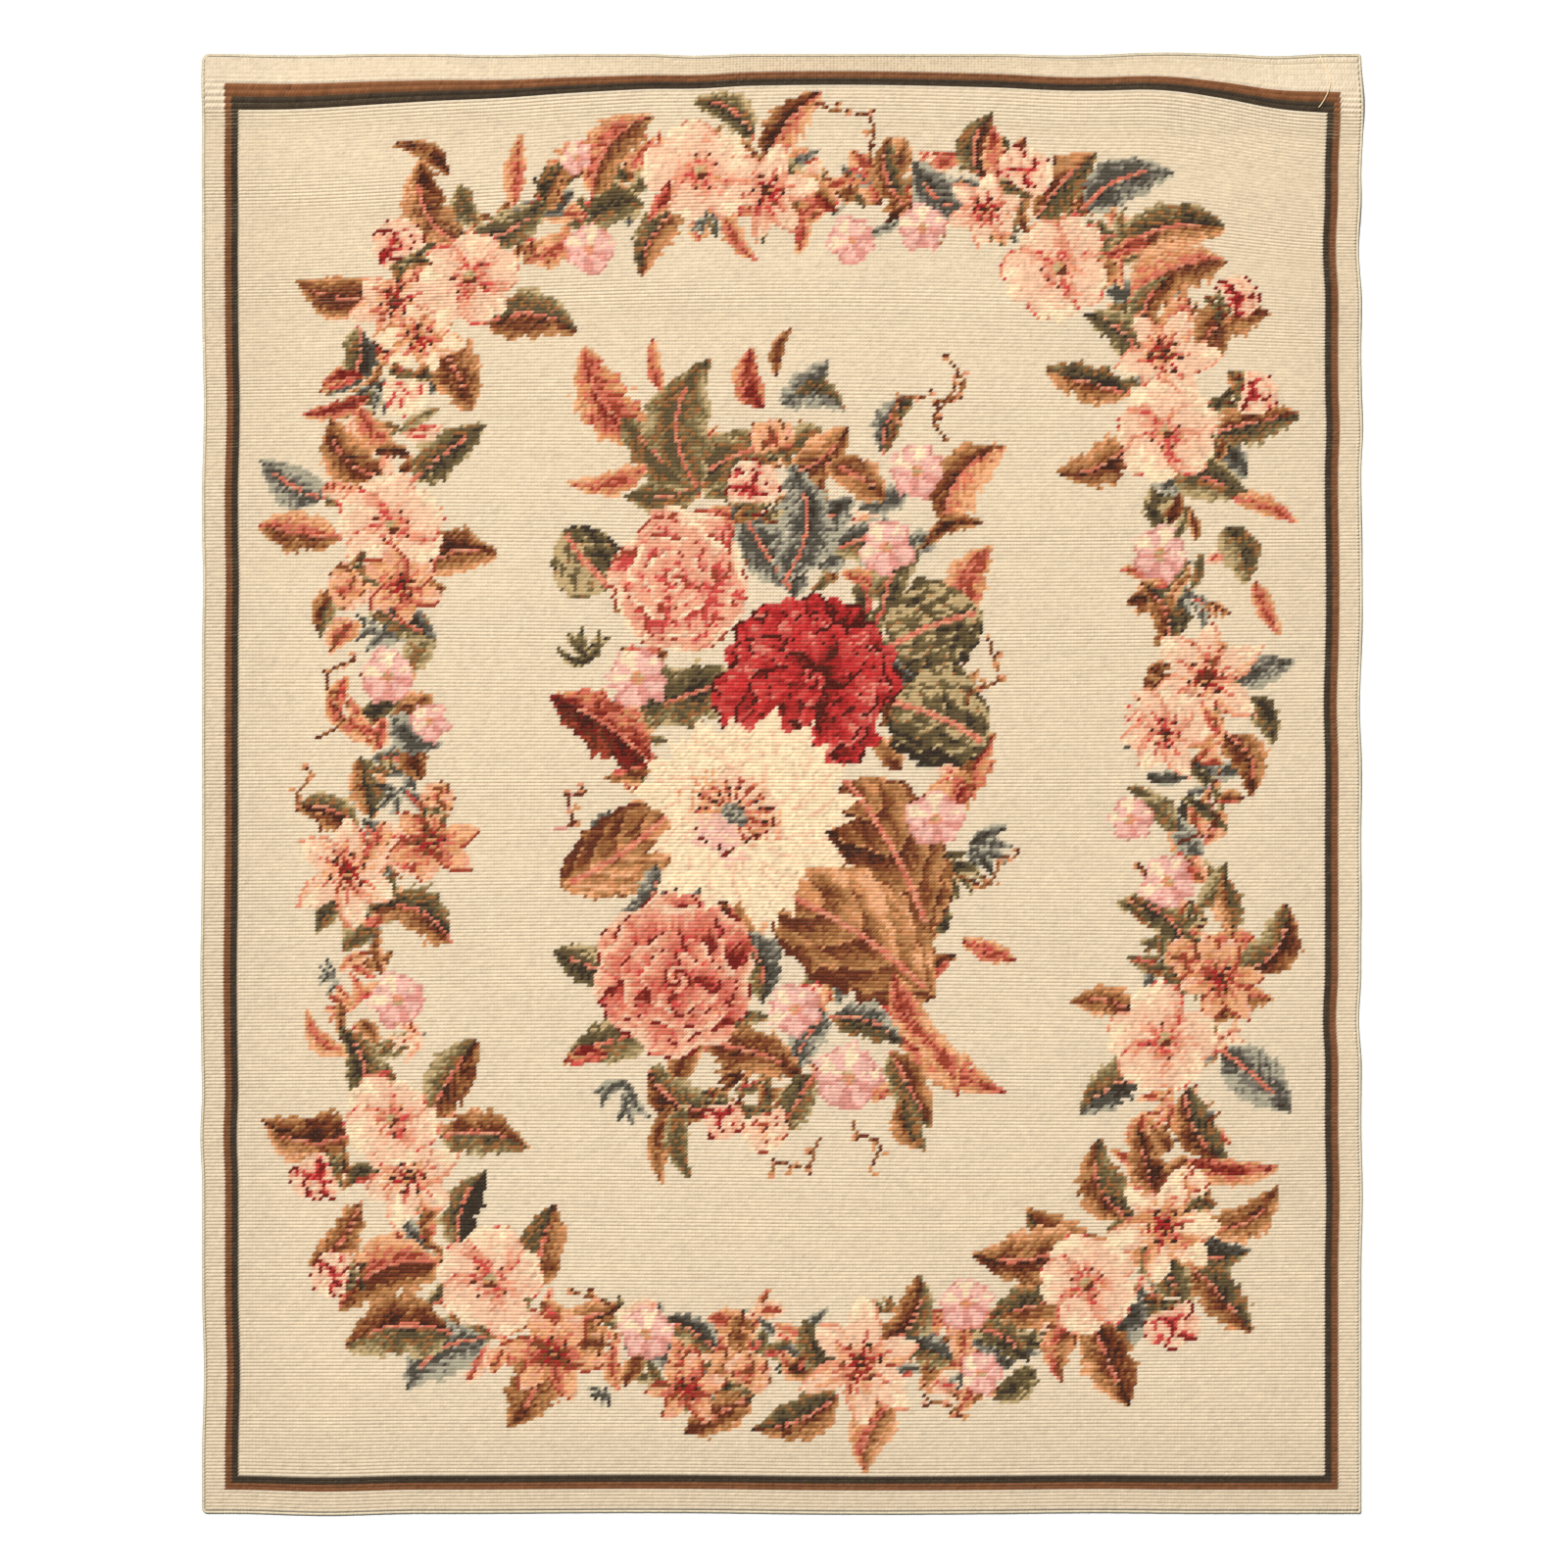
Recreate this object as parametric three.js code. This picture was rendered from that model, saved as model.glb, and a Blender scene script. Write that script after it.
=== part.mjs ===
// A needlepoint rug of about 4 by 5 feet, lying face up.
//
// The worked panel is one thick sheet: an open canvas that wool stitches fill from edge to
// edge, with a plain back. An overcast edging of wrapped yarn closes the cut edge. It is
// sewn in four runs, and the top and bottom runs turn the corners. The rug has been kept
// rolled, so soft ridges still cross it from side to side, and it lies flat between them.
//
// Millimetres, +Z up, +Y towards the top of the design. The origin is at floor level, below
// the middle of the rug.
import * as THREE from "three";

// Driving dimensions
const RUG_WIDTH = 1220;
const RUG_LENGTH = 1536;
const CLOTH_THICKNESS = 4;
const EDGING_WIDTH = 3;
const EDGING_HEIGHT = 4.4;
const PIECE_GAP = 0.3;
const CORNER_RADIUS = { topLeft: 9, topRight: 4, bottomLeft: 6, bottomRight: 3 };

// How finely the solids follow the cloth
const COLUMN_STEP = 52;
const RIDGED_ROW_STEP = 17;
const FLAT_ROW_STEP = 50;
const FLAT_BELOW = -360;
const CORNER_ZONE = 12;
const ARC_STEPS = 4;

// Soft ridges that cross the rug. `left` and `right` are where a ridge meets the two long
// sides, as heights along +Y. The lifts are how far its crest stands off the floor at each
// side and midway. `reach` is from the crest to where the cloth is flat again.
const RIDGES = [
  { left: 736, right: 722, liftLeft: 7.0, liftMid: 3.2, liftRight: 8.0, reach: 42 },
  { left: 648, right: 600, liftLeft: 4.6, liftMid: 3.6, liftRight: 3.8, reach: 48 },
  { left: 553, right: 503, liftLeft: 3.2, liftMid: 3.8, liftRight: 3.2, reach: 46 },
  { left: 446, right: 402, liftLeft: 2.8, liftMid: 2.8, liftRight: 3.0, reach: 52 },
  { left: 312, right: 270, liftLeft: 2.6, liftMid: 2.6, liftRight: 2.8, reach: 50 },
  { left: 196, right: 162, liftLeft: 2.8, liftMid: 1.8, liftRight: 2.4, reach: 44 },
  { left: 40, right: 6, liftLeft: 2.0, liftMid: 1.6, liftRight: 3.0, reach: 58 },
  { left: -100, right: -122, liftLeft: 2.6, liftMid: 1.4, liftRight: 1.6, reach: 48 },
  { left: -290, right: -300, liftLeft: 1.8, liftMid: 1.2, liftRight: 2.0, reach: 54 },
];

// Where the outline swells or draws in. `at` is along the side from its middle, `reach` is
// the half length of the swelling, and `out` is how far it moves outwards.
const EDGE_WAVES = [
  { side: "left", at: 400, reach: 110, out: -1.8 },
  { side: "left", at: 206, reach: 60, out: -1.2 },
  { side: "left", at: -205, reach: 130, out: 1.8 },
  { side: "left", at: -372, reach: 50, out: 1.8 },
  { side: "left", at: -620, reach: 90, out: -2.0 },
  { side: "right", at: 700, reach: 64, out: 2.2 },
  { side: "right", at: 567, reach: 60, out: -2.6 },
  { side: "right", at: 371, reach: 44, out: 1.6 },
  { side: "right", at: 206, reach: 90, out: 1.4 },
  { side: "right", at: 82, reach: 56, out: -1.5 },
  { side: "right", at: -248, reach: 50, out: -2.4 },
  { side: "right", at: -434, reach: 80, out: 1.5 },
  { side: "top", at: -510, reach: 96, out: -1.6 },
  { side: "top", at: -297, reach: 80, out: -1.4 },
  { side: "top", at: -90, reach: 60, out: -1.8 },
  { side: "top", at: 300, reach: 80, out: -1.6 },
  { side: "top", at: 405, reach: 70, out: 1.4 },
  { side: "top", at: 520, reach: 60, out: -2.4 },
  { side: "bottom", at: -480, reach: 100, out: 2.2 },
  { side: "bottom", at: -150, reach: 190, out: -1.0 },
  { side: "bottom", at: 100, reach: 190, out: 0.9 },
  { side: "bottom", at: 330, reach: 110, out: -0.8 },
];
const WAVE_FADE = 150; // the cloth inside this distance from a side moves with that side

const HALF_WIDTH = RUG_WIDTH / 2;
const HALF_LENGTH = RUG_LENGTH / 2;
const PANEL_INSET = EDGING_WIDTH + PIECE_GAP;

// A smooth hump: 1 at 0, falling to 0 at -1 and 1, and 0 beyond.
const hump = (t) => (Math.abs(t) < 1 ? Math.cos((t * Math.PI) / 2) ** 2 : 0);

// A value given at the left side, midway and the right side, at share s across the rug.
function acrossThree(left, mid, right, s) {
  return s < 0.5
    ? THREE.MathUtils.lerp(left, mid, s * 2)
    : THREE.MathUtils.lerp(mid, right, s * 2 - 1);
}

// How far the cloth's underside stands off the floor.
function liftAt(x, y) {
  const s = THREE.MathUtils.clamp(x / RUG_WIDTH + 0.5, 0, 1);
  let lift = 0;
  for (const ridge of RIDGES) {
    const crest = THREE.MathUtils.lerp(ridge.left, ridge.right, s);
    const height = acrossThree(ridge.liftLeft, ridge.liftMid, ridge.liftRight, s);
    lift += height * hump((y - crest) / ridge.reach);
  }
  return lift;
}

// How far a point of the neat rectangle moves when the sides wander.
function wanderAt(x, y) {
  const sides = {
    left: { along: y, depth: x + HALF_WIDTH, dx: -1, dy: 0 },
    right: { along: y, depth: HALF_WIDTH - x, dx: 1, dy: 0 },
    top: { along: x, depth: HALF_LENGTH - y, dx: 0, dy: 1 },
    bottom: { along: x, depth: y + HALF_LENGTH, dx: 0, dy: -1 },
  };
  const moved = { dx: 0, dy: 0 };
  for (const wave of EDGE_WAVES) {
    const side = sides[wave.side];
    const depth = Math.max(side.depth, 0) / WAVE_FADE;
    const out = wave.out * hump((side.along - wave.at) / wave.reach) * hump(Math.min(depth, 1));
    moved.dx += side.dx * out;
    moved.dy += side.dy * out;
  }
  return moved;
}

// The place of a point of the neat, flat rug in the rug as it lies.
function asItLies(x, y, z) {
  const { dx, dy } = wanderAt(x, y);
  return [x + dx, y + dy, z + liftAt(x, y)];
}

// Even stops from one value to another, no further apart than a step.
function stops(from, to, step) {
  const count = Math.ceil(Math.abs(to - from) / step);
  return Array.from({ length: count + 1 }, (_, i) => THREE.MathUtils.lerp(from, to, i / count));
}

const COLUMN_STOPS = stops(-HALF_WIDTH + CORNER_ZONE, HALF_WIDTH - CORNER_ZONE, COLUMN_STEP);
const ROW_STOPS = [
  ...stops(-HALF_LENGTH + CORNER_ZONE, FLAT_BELOW, FLAT_ROW_STEP).slice(0, -1),
  ...stops(FLAT_BELOW, HALF_LENGTH - CORNER_ZONE, RIDGED_ROW_STEP),
];

const CORNERS = [
  { sx: -1, sy: 1, radius: CORNER_RADIUS.topLeft },
  { sx: 1, sy: 1, radius: CORNER_RADIUS.topRight },
  { sx: 1, sy: -1, radius: CORNER_RADIUS.bottomRight },
  { sx: -1, sy: -1, radius: CORNER_RADIUS.bottomLeft },
];

// A closed body from its points and its faces of three or four corners.
function bodyFrom(points, faces) {
  const index = faces.flatMap((f) => (f.length === 3 ? f : [f[0], f[1], f[2], f[0], f[2], f[3]]));
  const geometry = new THREE.BufferGeometry();
  geometry.setAttribute("position", new THREE.Float32BufferAttribute(points.flat(), 3));
  geometry.setIndex(index);
  geometry.computeVertexNormals();
  return geometry;
}

// The worked canvas: a grid of points on its face and the same grid on its back.
function panelGeometry() {
  const halfWidth = HALF_WIDTH - PANEL_INSET;
  const halfLength = HALF_LENGTH - PANEL_INSET;
  const xs = [-halfWidth, ...COLUMN_STOPS, halfWidth];
  const ys = [-halfLength, ...ROW_STOPS, halfLength];
  const lastColumn = xs.length - 1;
  const lastRow = ys.length - 1;
  const cornerPull = (i, j) => {
    if (i % lastColumn || j % lastRow) return 0;
    const corner = CORNERS.find((c) => c.sx === Math.sign(xs[i]) && c.sy === Math.sign(ys[j]));
    return Math.max(corner.radius - PANEL_INSET, 0) * (1 - Math.SQRT1_2);
  };
  const layer = (z) =>
    ys.flatMap((y, j) =>
      xs.map((x, i) => {
        const pull = cornerPull(i, j);
        return asItLies(x - Math.sign(x) * pull, y - Math.sign(y) * pull, z);
      }),
    );
  const points = [...layer(0), ...layer(CLOTH_THICKNESS)];
  const back = (i, j) => j * xs.length + i;
  const face = (i, j) => back(i, j) + xs.length * ys.length;
  const faces = [];
  for (let j = 0; j < lastRow; j++) {
    for (let i = 0; i < lastColumn; i++) {
      faces.push([face(i, j), face(i + 1, j), face(i + 1, j + 1), face(i, j + 1)]);
      faces.push([back(i, j), back(i, j + 1), back(i + 1, j + 1), back(i + 1, j)]);
    }
  }
  for (let i = 0; i < lastColumn; i++) {
    faces.push([back(i, 0), back(i + 1, 0), face(i + 1, 0), face(i, 0)]);
    faces.push([back(i + 1, lastRow), back(i, lastRow), face(i, lastRow), face(i + 1, lastRow)]);
  }
  for (let j = 0; j < lastRow; j++) {
    faces.push([back(0, j + 1), back(0, j), face(0, j), face(0, j + 1)]);
    faces.push([
      back(lastColumn, j),
      back(lastColumn, j + 1),
      face(lastColumn, j + 1),
      face(lastColumn, j),
    ]);
  }
  return bodyFrom(points, faces);
}

// The edging's section, as shares of its width inwards and of its height.
const EDGING_SECTION = [
  { inwards: 0, up: 0.5 },
  { inwards: 0.27, up: 1 },
  { inwards: 0.73, up: 1 },
  { inwards: 1, up: 0.5 },
  { inwards: 0.73, up: 0 },
  { inwards: 0.27, up: 0 },
];

// Edging carried along a row of stations, each a point of the outline and the way out there.
function edgingGeometry(stations) {
  const points = stations.flatMap(({ x, y, nx, ny }) =>
    EDGING_SECTION.map(({ inwards, up }) => {
      const depth = inwards * EDGING_WIDTH;
      return asItLies(x - nx * depth, y - ny * depth, up * EDGING_HEIGHT);
    }),
  );
  const sides = EDGING_SECTION.length;
  const last = (stations.length - 1) * sides;
  const faces = [];
  for (let s = 0; s < last; s += sides) {
    for (let k = 0; k < sides; k++) {
      const next = (k + 1) % sides;
      faces.push([s + k, s + next, s + sides + next, s + sides + k]);
    }
  }
  for (let k = 1; k < sides - 1; k++) {
    faces.push([0, k + 1, k]);
    faces.push([last, last + k, last + k + 1]);
  }
  return bodyFrom(points, faces);
}

// Stations round one corner, clockwise as seen from above.
function cornerStations({ sx, sy, radius }) {
  const start = Math.atan2(sy, sx) + Math.PI / 4;
  return Array.from({ length: ARC_STEPS + 1 }, (_, i) => {
    const angle = start - (i / ARC_STEPS) * (Math.PI / 2);
    const nx = Math.cos(angle);
    const ny = Math.sin(angle);
    const x = sx * (HALF_WIDTH - radius) + nx * radius;
    const y = sy * (HALF_LENGTH - radius) + ny * radius;
    return { x, y, nx, ny };
  });
}

// A run across the top (sy 1) or bottom (sy -1) that turns both its corners, clockwise.
function endRun(sy) {
  const legEnd = HALF_LENGTH - CORNER_ZONE;
  const leg = (sx) => ({ x: sx * HALF_WIDTH, y: sy * legEnd, nx: sx, ny: 0 });
  const [first, second] = sy > 0 ? [CORNERS[0], CORNERS[1]] : [CORNERS[2], CORNERS[3]];
  const along = COLUMN_STOPS.map((x) => ({ x: x * sy, y: sy * HALF_LENGTH, nx: 0, ny: sy }));
  return [
    leg(first.sx),
    ...cornerStations(first),
    ...along,
    ...cornerStations(second),
    leg(second.sx),
  ];
}

// A run up a long side, between the two end runs, clockwise.
function sideRun(sx) {
  const inner = ROW_STOPS.slice(1, -1);
  const end = HALF_LENGTH - CORNER_ZONE - PIECE_GAP;
  return [-end, ...inner, end]
    .map((y) => ({ x: sx * HALF_WIDTH, y, nx: sx, ny: 0 }))
    .sort((a, b) => (a.y - b.y) * -sx);
}

const WOOL_FACE = new THREE.MeshStandardMaterial({ color: 0xe8d0a8, roughness: 0.95, metalness: 0 });
const EDGING_YARN = new THREE.MeshStandardMaterial({ color: 0xe0cda4, roughness: 0.92, metalness: 0 });

function addPiece(group, name, geometry, material) {
  const mesh = new THREE.Mesh(geometry, material);
  mesh.name = name;
  group.add(mesh);
}

const rug = new THREE.Group();
addPiece(rug, "worked_panel", panelGeometry(), WOOL_FACE);
addPiece(rug, "edging_top", edgingGeometry(endRun(1)), EDGING_YARN);
addPiece(rug, "edging_bottom", edgingGeometry(endRun(-1)), EDGING_YARN);
addPiece(rug, "edging_left", edgingGeometry(sideRun(-1)), EDGING_YARN);
addPiece(rug, "edging_right", edgingGeometry(sideRun(1)), EDGING_YARN);

export default rug;
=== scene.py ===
# %% [markdown]
# # A needlepoint rug, worked stitch by stitch
#
# A needlepoint rug is open cotton canvas with a short slanted wool stitch over every crossing.
# Seen from above it is a picture of about 150,000 dots of wool, and close up it is rows of small
# pillows. So the script has three layers: the canvas sheet, a chart that says which wool each
# crossing gets, and the stitches themselves, which Geometry Nodes copy onto the sheet.

import bpy
import numpy as np
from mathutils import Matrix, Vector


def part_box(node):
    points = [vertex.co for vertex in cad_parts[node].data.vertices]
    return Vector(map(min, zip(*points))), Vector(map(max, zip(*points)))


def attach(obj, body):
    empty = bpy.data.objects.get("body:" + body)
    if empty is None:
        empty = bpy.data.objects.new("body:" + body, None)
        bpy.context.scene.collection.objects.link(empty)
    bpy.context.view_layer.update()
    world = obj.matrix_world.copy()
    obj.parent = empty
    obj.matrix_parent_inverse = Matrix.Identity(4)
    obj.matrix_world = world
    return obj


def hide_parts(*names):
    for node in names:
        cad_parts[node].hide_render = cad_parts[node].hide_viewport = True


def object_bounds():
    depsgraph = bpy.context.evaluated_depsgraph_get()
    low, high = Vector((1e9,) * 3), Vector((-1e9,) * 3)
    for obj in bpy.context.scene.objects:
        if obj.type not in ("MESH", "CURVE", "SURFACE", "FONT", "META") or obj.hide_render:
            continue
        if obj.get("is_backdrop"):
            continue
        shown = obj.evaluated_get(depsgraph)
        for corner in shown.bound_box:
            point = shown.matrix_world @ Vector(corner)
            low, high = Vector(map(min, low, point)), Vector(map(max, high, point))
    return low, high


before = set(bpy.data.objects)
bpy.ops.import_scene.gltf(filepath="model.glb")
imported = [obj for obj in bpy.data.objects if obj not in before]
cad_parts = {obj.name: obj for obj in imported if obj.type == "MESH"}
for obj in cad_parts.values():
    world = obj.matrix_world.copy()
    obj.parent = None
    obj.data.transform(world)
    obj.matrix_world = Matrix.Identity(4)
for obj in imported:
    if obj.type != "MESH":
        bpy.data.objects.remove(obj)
cad_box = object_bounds()
print("Solids:", ", ".join(sorted(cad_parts)))

# %% [markdown]
# ## Sizes
#
# All sizes are the real ones in millimetres, and they turn into metres at the last moment. The
# rug is in the 4 by 5 foot class. Its wool stitches are about 7 to the inch, which gives the
# number of columns and rows. They fill the sheet inside a narrow edging of wrapped yarn.

# %% Driving sizes
MM = 0.001
RUG_WIDTH, RUG_LENGTH = 1220.0, 1536.0
EDGING_WIDTH, PIECE_GAP = 3.0, 0.3
PANEL_INSET = EDGING_WIDTH + PIECE_GAP
PANEL_WIDTH, PANEL_LENGTH = RUG_WIDTH - 2 * PANEL_INSET, RUG_LENGTH - 2 * PANEL_INSET
COLUMNS, ROWS = 344, 424
STITCH_WIDE, STITCH_LONG = PANEL_WIDTH / COLUMNS, PANEL_LENGTH / ROWS
CANVAS_THICK, STITCH_HIGH = 1.4, 2.5
CORNER_RADIUS = {(-1, 1): 9.0, (1, 1): 4.0, (1, -1): 3.0, (-1, -1): 6.0}
print(f"{COLUMNS} x {ROWS} stitches of {STITCH_WIDE:.2f} x {STITCH_LONG:.2f} mm")

# %% [markdown]
# ## Tables as text
#
# The rug's folds and flowers are lists of like things. A small table with a line of headings is
# the easiest form to read and to change, so one helper turns such text into rows.


# %% Read a table
def table(text):
    """Rows of a text table as dictionaries: the first line names the columns."""
    lines = [line.split() for line in text.strip().splitlines()]
    names = lines[0]
    rows = []
    for words in lines[1:]:
        row = {}
        for name, word in zip(names, words):
            try:
                row[name] = float(word)
            except ValueError:
                row[name] = word
        rows.append(row)
    return rows


print("A row of a table:", table("wool plies\ncream 3")[0])

# %% [markdown]
# ## How the cloth lies
#
# The rug was kept rolled, so soft ridges still cross it. Each is a smooth hump with an end, so
# the cloth between two ridges lies truly flat on the floor. The long sides wander by a few
# millimetres, because wool stitches pull the canvas in a little wherever they are tighter. The
# same numbers shape the solids, so the cloth here lies exactly where they do.

# %% Ridges and wandering sides
RIDGES = table("""
left  right lift_left lift_mid lift_right reach
736   722   7.0       3.2      8.0        42
648   600   4.6       3.6      3.8        48
553   503   3.2       3.8      3.2        46
446   402   2.8       2.8      3.0        52
312   270   2.6       2.6      2.8        50
196   162   2.8       1.8      2.4        44
40    6     2.0       1.6      3.0        58
-100  -122  2.6       1.4      1.6        48
-290  -300  1.8       1.2      2.0        54
""")
EDGE_WAVES = table("""
side    at    reach out
left    400   110   -1.8
left    206   60    -1.2
left    -205  130   1.8
left    -372  50    1.8
left    -620  90    -2.0
right   700   64    2.2
right   567   60    -2.6
right   371   44    1.6
right   206   90    1.4
right   82    56    -1.5
right   -248  50    -2.4
right   -434  80    1.5
top     -510  96    -1.6
top     -297  80    -1.4
top     -90   60    -1.8
top     300   80    -1.6
top     405   70    1.4
top     520   60    -2.4
bottom  -480  100   2.2
bottom  -150  190   -1.0
bottom  100   190   0.9
bottom  330   110   -0.8
""")
WAVE_FADE = 150.0
print(len(RIDGES), "ridges and", len(EDGE_WAVES), "swellings of the sides")


# %% The cloth as it lies
def hump(t):
    """A smooth hump: 1 at 0, falling to 0 at -1 and 1, and 0 beyond."""
    return np.where(np.abs(t) < 1, np.cos(np.clip(t, -1, 1) * np.pi / 2) ** 2, 0.0)


def lift_at(x, y):
    """How far the cloth's underside stands off the floor, in millimetres."""
    share = np.clip(x / RUG_WIDTH + 0.5, 0, 1)
    lift = np.zeros(np.broadcast(x, y).shape)
    for ridge in RIDGES:
        crest = ridge["left"] + (ridge["right"] - ridge["left"]) * share
        lifts = [ridge["lift_left"], ridge["lift_mid"], ridge["lift_right"]]
        lift += np.interp(share, [0, 0.5, 1], lifts) * hump((y - crest) / ridge["reach"])
    return lift


def wander_at(x, y):
    """How far a point of the neat rectangle moves across and along when the sides wander."""
    sides = {
        "left": (y, x + RUG_WIDTH / 2, -1, 0),
        "right": (y, RUG_WIDTH / 2 - x, 1, 0),
        "top": (x, RUG_LENGTH / 2 - y, 0, 1),
        "bottom": (x, y + RUG_LENGTH / 2, 0, -1),
    }
    dx, dy = np.zeros(np.shape(x)), np.zeros(np.shape(x))
    for wave in EDGE_WAVES:
        along, depth, to_x, to_y = sides[wave["side"]]
        fade = hump(np.clip(depth / WAVE_FADE, 0, 1))
        out = wave["out"] * hump((along - wave["at"]) / wave["reach"]) * fade
        dx, dy = dx + to_x * out, dy + to_y * out
    return dx, dy


def as_it_lies(x, y, z):
    """Places of the neat, flat rug in the rug as it lies, in metres."""
    x, y, z = np.broadcast_arrays(*(np.asarray(v, float) for v in (x, y, z)))
    dx, dy = wander_at(x, y)
    return np.stack([x + dx, y + dy, z + lift_at(x, y)], axis=-1) * MM


EDGE_STOPS = 2000
solid_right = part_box("worked_panel")[1][0]
edge_y = np.linspace(-PANEL_LENGTH / 2, PANEL_LENGTH / 2, EDGE_STOPS)
cloth_right = as_it_lies(PANEL_WIDTH / 2, edge_y, 0.0)[:, 0].max()
print(f"Right side reaches {cloth_right / MM:.2f} mm here and {solid_right / MM:.2f} mm in the solids")

# %% [markdown]
# ## The pull on the rows
#
# Whoever blocked this rug pulled its top corners hard. The rows open out there and close up in
# the middle of the top side, so the border line sags towards both corners. Three smooth humps
# say so: a long sag at the left corner, a short deep one at the right, and a slight rise between
# them. A row moves by an amount that grows from the top side to the line and then dies away.

# %% Rows as they were pulled
BORDER_SAG = table("""
at    reach  line_top  line_foot
-607  520    7         20
60    330    -6        -6
607   240    17        25
""")
LINE_TOP, LINE_FOOT, SAG_END = 21.6, 36.1, 430.0
ROW_DRIFT, DRIFT_REACH = 1.3, 170.0
DRIFT_ACROSS, DRIFT_ALONG = (173, 311), (131, 97)


def pull_at(x, y):
    """How far a stitch of the neat panel is pulled towards the bottom of the rug, in millimetres."""
    depth = PANEL_LENGTH / 2 - y
    top = sum(pull["line_top"] * hump((x - pull["at"]) / pull["reach"]) for pull in BORDER_SAG)
    foot = sum(pull["line_foot"] * hump((x - pull["at"]) / pull["reach"]) for pull in BORDER_SAG)
    above = top * depth / LINE_TOP
    within = top + (foot - top) * (depth - LINE_TOP) / (LINE_FOOT - LINE_TOP)
    below = foot * hump(np.clip((depth - LINE_FOOT) / (SAG_END - LINE_FOOT), 0, 1))
    sag = np.where(depth < LINE_TOP, above, np.where(depth < LINE_FOOT, within, below))
    inside = 1 - hump(np.clip((PANEL_LENGTH / 2 - np.abs(y)) / DRIFT_REACH, 0, 1))
    slow = np.sin(x / DRIFT_ACROSS[0] + np.sin(y / DRIFT_ALONG[0]))
    quick = np.sin(y / DRIFT_ALONG[1] - x / DRIFT_ACROSS[1])
    return sag + ROW_DRIFT * inside * (slow + quick)


SAG_PLACE = -554.0
sag = pull_at(np.array(SAG_PLACE), np.array(PANEL_LENGTH / 2 - LINE_FOOT))
print(f"The border line's foot sags by {sag:.1f} mm near the left corner")

# %% [markdown]
# ## Wools
#
# A design like this takes some thirty wools from a shade card. Colours are written as sRGB hex,
# as they look on screen. The second table lists families of wools from dark to light: a flower or
# a leaf is always worked in one family, so its shading is a step along that list.

# %% Wools
WOOLS = {
    "cream": "#EDDBBF",
    "line_brown": "#8E5C3A",
    "line_dark": "#4A3D2F",
    "wine": "#5C1E16",
    "garnet": "#86261E",
    "crimson": "#B22C2A",
    "scarlet": "#D03A38",
    "rose": "#D4544C",
    "petal": "#E68C78",
    "brick": "#AA4A32",
    "coral": "#DA7C62",
    "salmon": "#E8A07E",
    "blush": "#F0B292",
    "shell": "#F7CEAE",
    "ivory": "#FCE3C0",
    "lilac": "#E3A192",
    "pale_lilac": "#F5C4B4",
    "maroon": "#4A281C",
    "chestnut": "#703621",
    "russet": "#8C4E2C",
    "tan": "#A87040",
    "camel": "#C18C58",
    "amber": "#DC9C68",
    "apricot": "#F0B88A",
    "bottle": "#43362A",
    "moss": "#6A583A",
    "olive": "#847048",
    "sage": "#A69064",
    "straw": "#CDB384",
    "slate": "#5C5549",
    "mist": "#898071",
    "frost": "#BDB49C",
}
WOOL_NAMES = list(WOOLS)
print(len(WOOLS), "wools")

# %% Families of shades
SHADES = {
    "rust": "maroon chestnut russet tan camel amber",
    "bronze": "chestnut russet tan camel amber apricot",
    "flame": "brick coral amber apricot apricot",
    "ember": "garnet brick coral amber apricot",
    "wine": "maroon wine garnet chestnut brick",
    "green": "bottle moss moss tan olive sage straw",
    "olive": "moss moss tan olive sage straw straw",
    "fern": "bottle moss moss olive straw straw",
    "slate": "bottle slate slate mist frost frost",
    "mist": "slate slate mist frost frost cream",
    "crimson": "wine garnet crimson crimson scarlet scarlet rose rose petal",
    "pink": "brick rose rose petal blush blush blush shell ivory",
    "coral": "garnet brick rose coral coral petal salmon blush blush shell",
    "blossom": "rose salmon blush shell shell shell ivory ivory",
    "peach": "brick salmon apricot shell shell shell ivory ivory",
    "ivory": "coral amber apricot shell ivory ivory ivory",
    "star": "apricot shell ivory ivory ivory ivory",
    "melon": "russet brick coral amber apricot apricot blush shell",
    "lilac": "lilac lilac lilac pale_lilac pale_lilac pale_lilac ivory",
    "rosebud": "garnet crimson rose blush shell shell ivory",
    "twig": "russet tan chestnut",
    "lilac_twig": "lilac chestnut russet",
}


def linear(hex_colour):
    """An sRGB hex colour as linear red, green, blue and alpha."""
    values = np.array([int(hex_colour[i : i + 2], 16) for i in (1, 3, 5)]) / 255
    low_end = values / 12.92
    high_end = ((values + 0.055) / 1.055) ** 2.4
    return (*np.where(values <= 0.04045, low_end, high_end), 1.0)


WOOL_COLOURS = np.array([linear(WOOLS[name]) for name in WOOL_NAMES])
FIRST_FLOWER_WOOL = WOOL_NAMES.index("wine")
print(len(SHADES), "families, from wool number", FIRST_FLOWER_WOOL, "on")

# %% [markdown]
# ## The chart
#
# Needlepoint is worked from a chart: squared paper where each square is one stitch. The chart
# here is an array of wool numbers. A motif is a formula, worked only on the stitches near its
# place and turned to its own direction, so u runs along the motif and v across it.
#
# A stitcher blends two wools by mixing their rows and stitches. The chart does the same: half of
# the mix comes from whether the row is odd or even, and half from chance.

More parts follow.
